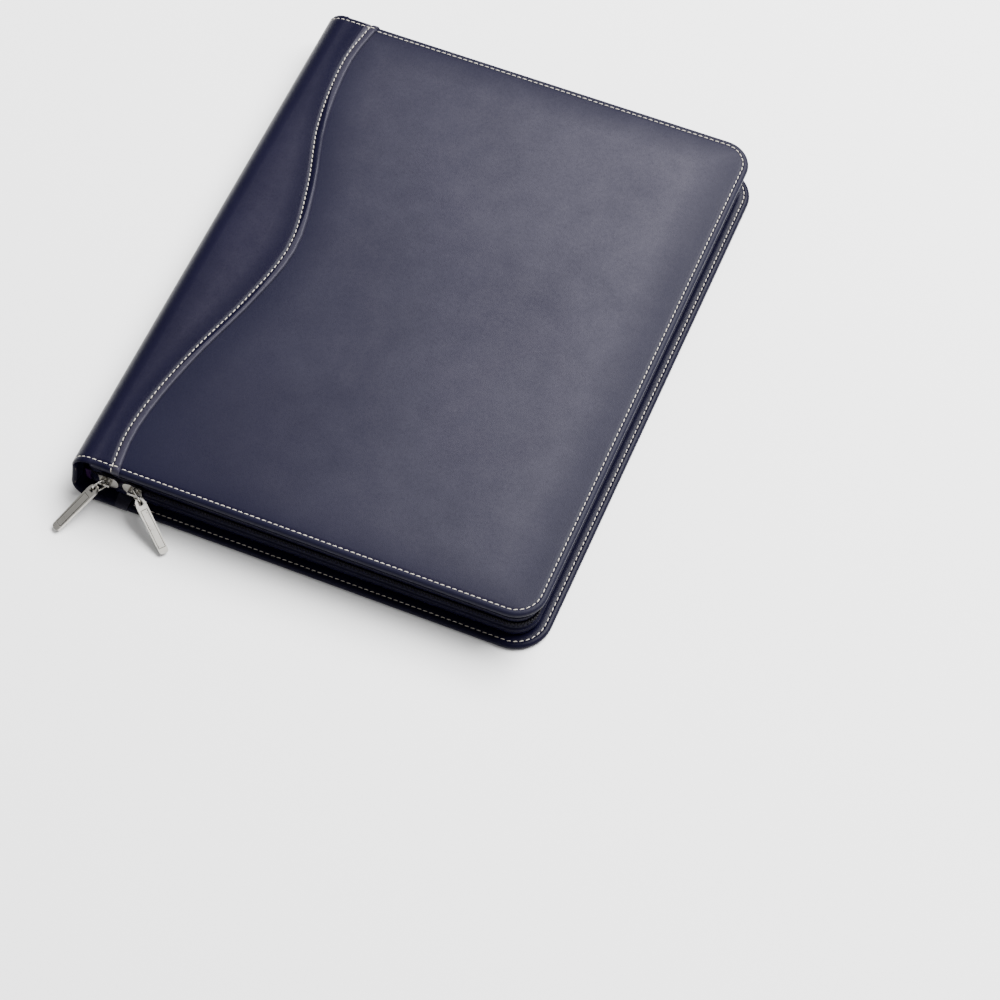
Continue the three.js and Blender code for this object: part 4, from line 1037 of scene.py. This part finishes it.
# Zip of the organiser's pocket: plum tape sewn in behind the slot, with a fine closed chain of dark coil.
# Its slider and pull tab are pale gilt castings.
gilt, tree = surface("pale_gilt", {"Metallic": 1.0})
rubbed = noise(tree, 900, 3)
feed(tree, Base_Color=mix(tree, rubbed, (0.6, 0.5, 0.34), (0.78, 0.68, 0.5)), Roughness=rubbed * 0.15 + 0.15)
rounded("pocket_zip_tape", fabric, 0.1)
for name in ("pocket_slider_body", "pocket_pull_tab"):
    rounded(name, gilt, 0.25)
turns = []
for i in range(int((slot_head - slot_foot) / turn_pitch) - 1):
    y, x = slot_foot + 0.8 + turn_pitch * i, slot_x + (0.62 if i % 2 else -0.62)
    loops = [[(x + a * size, y + b * size * 0.8, z) for a, b in
              ((-1, -0.5), (-0.6, -1), (0.6, -1), (1, -0.5), (1, 0.5), (0.6, 1), (-0.6, 1), (-1, 0.5))]
             for z, size in ((26.75, 0.85), (26.2, 0.95), (25.9, 0.6))]
    turns.append(loft(loops))
pocket_chain = mesh_piece("pocket_chain", *joined(turns), coil, "zip_coil")
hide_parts("pocket_zip_teeth")
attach(pocket_chain, "front")

# Card slots: five leather tiers that overlap like shingles, sewn along the top edge and both sides. The
# top edges are cut on a slight slant, and each tier holds a plastic card.
slope = math.radians(5.094)
tier_head, tier_step, card_wide = 149, 23.2, 54
low_x, middle_x, high_x, row_x0, row_x1 = -116.5, -62, -19.9, -114.6, -21
(card_x0, _, _), (card_x1, _, card_z) = corners("card_1")


def shingle(edge_y, tuck):
    """Places a point of a tier: it leans, hinged at the foot of its card."""
    foot = edge_y - tuck * math.cos(slope)
    return lambda x, y, z: (x, foot + y * math.cos(slope) + z * math.sin(slope),
                            card_z - y * math.sin(slope) + z * math.cos(slope))


def printed(name, base, other, share):
    """Smooth coated card in two colours; share(tree, x, y) says where the second one lies."""
    material, tree = surface(name, {"Specular IOR Level": 0.06})
    x, y = in_plan(tree)
    tone = mix(tree, noise(tree, 300, 2), tuple(c * 0.94 for c in base), base)
    tone = mix(tree, share(tree, x, y), tone, other)
    feed(tree, Base_Color=tone, Roughness=noise(tree, 700, 2) * 0.08 + 0.3)
    return material


card_prints = [
    printed("card_white_print", (0.62, 0.62, 0.6), (0.2, 0.004, 0.01), lambda tree, x, y: (x < -0.098) * 0.9),
    printed("card_purple_print", (0.03, 0.003, 0.13), (0.055, 0.012, 0.2),
            lambda tree, x, y: (x + y * 0.8 + 1).remainder(0.028) < 0.006),
    printed("card_orange_print", (0.42, 0.1, 0.002), (0.5, 0.34, 0.16),
            lambda tree, x, y: (x > -0.046) * (x < -0.03)),
    printed("card_olive_print", (0.035, 0.04, 0.003), (0.055, 0.06, 0.008),
            lambda tree, x, y: noise(tree, 160, 2)),
    printed("card_teal_print", (0.003, 0.06, 0.065), (0.1, 0.27, 0.2),
            lambda tree, x, y: (noise(tree, 42, 1) > 0.52) * 0.8),
]
for i, card_print in enumerate(card_prints):
    number, tuck = str(i + 1), card_wide - (6 + 1.2 * i)
    lean = shingle(tier_head - tier_step * i, tuck)
    run = 43.9 if i == len(card_prints) - 1 else 30.2
    tier = [(low_x, tuck - run), (high_x, tuck - run), (high_x, tuck + 2.6), (middle_x, tuck + 1.2),
            (low_x, tuck - 3.2)]
    leather_panel("card_tier_" + number, tier, -1.76, -1.06, ("card_slot_" + number,), (), lean)
    rows = [[(row_x0, tuck - 5.2), (middle_x, tuck - 1.0), (row_x1, tuck + 0.6)],
            [(row_x1, tuck - 1.6), (row_x1, tuck - 22)], [(row_x0, tuck - 7.4), (row_x0, tuck - 27.5)]]
    paths = [[(lean(x, y, -1.52), (0, -math.sin(slope), -math.cos(slope))) for x, y in row] for row in rows]
    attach(stitched(f"card_tier_{number}_stitches", paths, "leather_panel", 3.2, 2.3, 0.6), "front")
    plate = outline(card_x0, card_x1, 0, card_wide, (3, 3, 3, 3), 4)
    card = "card_" + number
    panel("plastic_" + card, plate, -0.76, 0, card_print, "card", card, (card,), (), lean)

# Side pocket: a leather panel below the cards, sewn along its head and fore-edge. A thumb cut in the
# fore-edge shows the white booklet that it holds.
(x0, y0, face), (x1, y1, _) = corners("side_pocket_panel")
cut_foot, cut_head, cut_depth, cut_round = y0 + 4.85, y1 - 4.85, 9, 4.5
turn_x = x1 - cut_depth + cut_round
quarter = arc(cut_round, 0, 90, 4)
side = [(x0, y0), (x1, y0), (x1, cut_foot)]
side += [(turn_x - b, cut_foot + cut_round - a) for a, b in quarter]
side += [(turn_x - a, cut_head - cut_round + b) for a, b in quarter]
side += [(x1, cut_head), (x1, y1), (x0, y1)]
leather_panel("side_pocket_leather", side, face, face + leather_thick, ("side_pocket_panel",))
leather_panel("lip_of_side", outline(x0, x0 + 0.9, y0, y1), face + 0.6, face + 2.4)
sewn("side_pocket_stitches", [[(x0 + 2.5, y1 - 2.4), (x1 - 2.5, y1 - 2.4)],
                              [(x1 - 2.5, y0 + 2.3), (x1 - 11.5, y0 + 3.9), (x1 - 11.5, y1 - 4)]], face)
rounded("side_booklet", paper, 0.15)

# Window pocket: a leather panel with a sewn opening, and a blue sheet behind its clear film. The panel
# carries on to the organiser's foot.
(x0, y0, face), (x1, y1, _) = corners("window_panel")
(film_x0, film_y0, _), (film_x1, film_y1, _) = corners("window_film")
opening = outline(film_x0 + 3, film_x1 - 3, film_y0 + 3, film_y1 - 3, (1, 1, 1, 1), 3)
window_edge = flat_node("window_panel", soft_corners)[0]
leather_panel("window_leather", window_edge, face, face + leather_thick, ("window_panel",), [opening])
leather_panel("lip_of_window", outline(x0, x0 + 0.9, y0, y1), face + 0.6, face + 2.4)
around = outline(film_x0 + 0.6, film_x1 - 0.6, film_y0 + 0.6, film_y1 - 0.6, (1, 1, 1, 1), 2)
window_row = [(x0 + 2.5, y1 - 2.3), (x1 - 2.7, y1 - 2.3), (x1 - 2.7, y0 + 2.4), (x0 + 2.5, y0 + 2.4),
              (x0 + 2.5, y1 - 4)]
sewn("window_stitches", [around + [around[0]], window_row], face)
blue_sheet = printed("blue_sheet", (0.005, 0.022, 0.085), (0.03, 0.085, 0.2),
                     lambda tree, x, y: (x * 0.45 - y + 1).remainder(0.034) < 0.004)
panel("window_sheet", *flat_node("window_insert"), blue_sheet, "print", "front", ("window_insert",))
clear_film, tree = surface("clear_film", {"Specular IOR Level": 0.3, "Alpha": 0.15})
feed(tree, Base_Color=mix(tree, noise(tree, 30), (0.02, 0.025, 0.03), (0.03, 0.035, 0.04)),
     Roughness=noise(tree, 200) * 0.05 + 0.03)
rounded("window_film", clear_film, 0.05)

# Brochure: glossy white sheets with a few broad colour bands. They stand loose in the pocket behind the
# main panel, and stand out a little past its scooped fore-edge.
glossy, tree = surface("glossy_print", {"Specular IOR Level": 0.06})
_, y = in_plan(tree)
waver = y + (noise(tree, 45, 2) - 0.5) * 0.012
stops = [(0.0, (0.6, 0.59, 0.55)), (0.30, (0.6, 0.59, 0.55)), (0.31, (0.03, 0.012, 0.13)),
         (0.42, (0.1, 0.1, 0.3)), (0.43, (0.3, 0.36, 0.52)), (0.52, (0.34, 0.4, 0.55)),
         (0.53, (0.26, 0.008, 0.003)), (0.65, (0.36, 0.03, 0.005)), (0.66, (0.04, 0.004, 0.007)),
         (0.73, (0.05, 0.006, 0.009)), (0.74, (0.58, 0.62, 0.58)), (1.0, (0.62, 0.63, 0.6))]
bands = node(tree, "ValToRGB", {"stops": stops}, {0: waver * 3.2 + 0.5})
feed(tree, Base_Color=mix(tree, noise(tree, 250, 3) * 0.15, bands, (0.2, 0.17, 0.2)),
     Roughness=noise(tree, 400) * 0.08 + 0.25)
panel("brochure_sheets", *flat_node("brochure"), glossy, "print", "brochure", ("brochure",))
